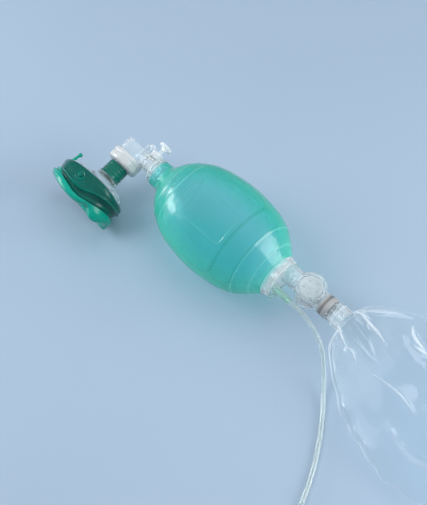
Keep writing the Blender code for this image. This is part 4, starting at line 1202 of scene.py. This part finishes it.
def build_tube():
    cuff = walled([(98.4, 6.6), (99.2, 6.9), (101.0, 6.3), (106.0, 5.2), (113.0, 4.3),
                   (124.0, 4.0)], [(98.4, 3.6), (104.0, 3.6), (124.0, 3.25)])
    part("line_cuff", "tube_cuff", turned(cuff, "X", 64, 0.4, (0, NOZZLE_Y, 0)), BAG,
         "oxygen_line", TINTED)

    coil = [coil_point(k / COIL_STEPS) for k in range(int(COIL_TURNS * COIL_STEPS))]
    # the CAD tube has 14 steps a turn, and its straight end runs on along the last chord
    last = coil_point(COIL_TURNS)
    heading = last - coil_point(COIL_TURNS - 1 / 14)
    heading[2] = 0
    heading /= np.linalg.norm(heading)
    straight = [last + reach * heading for reach in (1.5, 6, 12)]
    path = smooth_curve(TUBE_LEAD + coil + straight, 620)
    path[:, 2] = np.maximum(path[:, 2], TUBE_FLOOR + 0.1)
    part("line_tube", "oxygen_tube", pipe(path, TUBE_RADIUS, TUBE_BORE, 24), BAG,
         "oxygen_line", TUBE, angle=60)

    def grip(along, radius, angle):
        if 9.0 < along < 28.0 and radius > 4.8:
            return radius + 0.3 * (0.5 + 0.5 * np.cos(angle * 12))
        return radius

    place = (BAG @ Matrix.Translation(straight[-1])
             @ Vector(heading).to_track_quat("X", "Z").to_matrix().to_4x4())
    funnel = walled(
        [(-9.0, 4.1), (7.0, 4.4), (8.6, 4.9), (14.0, 5.2), (30.0, 6.2), (32.0, 6.4)],
        [(-9.0, 3.3), (0.4, 3.3), (0.4, 1.9), (14.0, 3.2), (32.0, 4.6)])
    part("line_funnel", "tube_end_connector", turned(funnel, "X", 96, 0.35, shape=grip),
         place, "oxygen_line", TINTED)


# ------------------------------------------------------------------ stage, light, camera (metres)
def build_floor():
    half_size, steps = 6.0, 40
    height = (BASE.z + TABLE_Z) * MM - 0.0002
    verts = [(-half_size + 2 * half_size * k / steps, y, height)
             for k in range(steps + 1) for y in (-half_size, 0.0, half_size)]
    mesh = bpy.data.meshes.new("floor")
    mesh.from_pydata(verts, [], grid_faces(steps + 1, 3, wrap_rows=False, wrap_cols=False))
    floor = bpy.data.objects.new("floor", mesh)
    bpy.context.scene.collection.objects.link(floor)
    mesh.materials.append(floor_material("floor"))


def area_light(name, location, target, size, power, glossy=True):
    """Rectangular light; its place and target are measured from the bag's centre."""
    light = bpy.data.lights.new(name, "AREA")
    light.shape, light.energy = "RECTANGLE", power
    light.size, light.size_y = size
    obj = bpy.data.objects.new(name, light)
    obj.location = Vector(location) + BASE * MM
    obj.rotation_mode = "QUATERNION"
    obj.rotation_quaternion = (Vector(target) - Vector(location)).to_track_quat("-Z", "Y")
    obj.visible_glossy = glossy
    bpy.context.scene.collection.objects.link(obj)


def build_lights():
    area_light("key", location=(-0.8, -0.9, 1.6), target=(0, 0, 0), size=(1.0, 1.0), power=19,
               glossy=False)
    area_light("side", location=(-1.32, -0.66, 0.24), target=(-0.1, 0, 0.0), size=(1.0, 0.40),
               power=12)
    area_light("back", location=(1.2, 0.70, 0.66), target=(0.1, 0, 0), size=(1.2, 0.9),
               power=18)
    area_light("top", location=(0.15, 0.5, 1.9), target=(0.1, 0, 0), size=(1.2, 1.2), power=8,
               glossy=False)


def build_world():
    """Sky that pales upwards."""
    world = bpy.data.worlds.new("studio")
    bpy.context.scene.world = world
    nodes = Nodes(world)
    direction = nodes.add("TexCoord", take="Generated")
    colour = nodes.add("ValToRGB", nodes.add("SeparateXYZ", direction, take="Z"), take="Color")
    low, high = colour.node.color_ramp.elements
    low.position, low.color = 0.02, (0.16, 0.24, 0.34, 1)
    high.position, high.color = 0.75, (0.80, 0.86, 0.94, 1)
    nodes.existing("Background", Color=colour, Strength=0.55)


def set_render():
    scene = bpy.context.scene
    scene.view_settings.view_transform = "Standard"
    scene.cycles.max_bounces = 16
    scene.cycles.transmission_bounces = 14
    scene.cycles.transparent_max_bounces = 24


def build_camera():
    azimuth, elevation, distance = math.radians(45.2), math.radians(61.0), 1.400
    shift_left, shift_down = 0.015625, 0.026375
    back = Vector((math.sin(azimuth) * math.cos(elevation),
                   -math.cos(azimuth) * math.cos(elevation), math.sin(elevation)))
    right = (-back).cross(Vector((0, 0, 1))).normalized()
    up = right.cross(-back)
    data = bpy.data.cameras.new("camera")
    data.sensor_width = 36.0
    data.lens = 79.841584
    data.clip_start, data.clip_end = 0.05, 50
    camera = bpy.data.objects.new("camera", data)
    camera.location = BASE * MM + back * distance - right * shift_left - up * shift_down
    camera.rotation_mode = "QUATERNION"
    camera.rotation_quaternion = (-back).to_track_quat("-Z", "Y")
    bpy.context.scene.collection.objects.link(camera)
    bpy.context.scene.camera = camera


build_bag()
build_neck_socket()
build_valve_housing()
build_o_ring()
build_exhalation_collar()
build_patient_port()
build_relief_valve()
build_monitor_port()
build_mask_cuff()
build_mask_dome()
build_mask_cushion()
build_mask_fittings()
build_rear_collar()
build_intake()
build_chamber()
build_chamber_valves()
build_coupling()
build_reservoir_connector()
build_film()
build_tube()
build_floor()
build_lights()
build_world()
set_render()
build_camera()
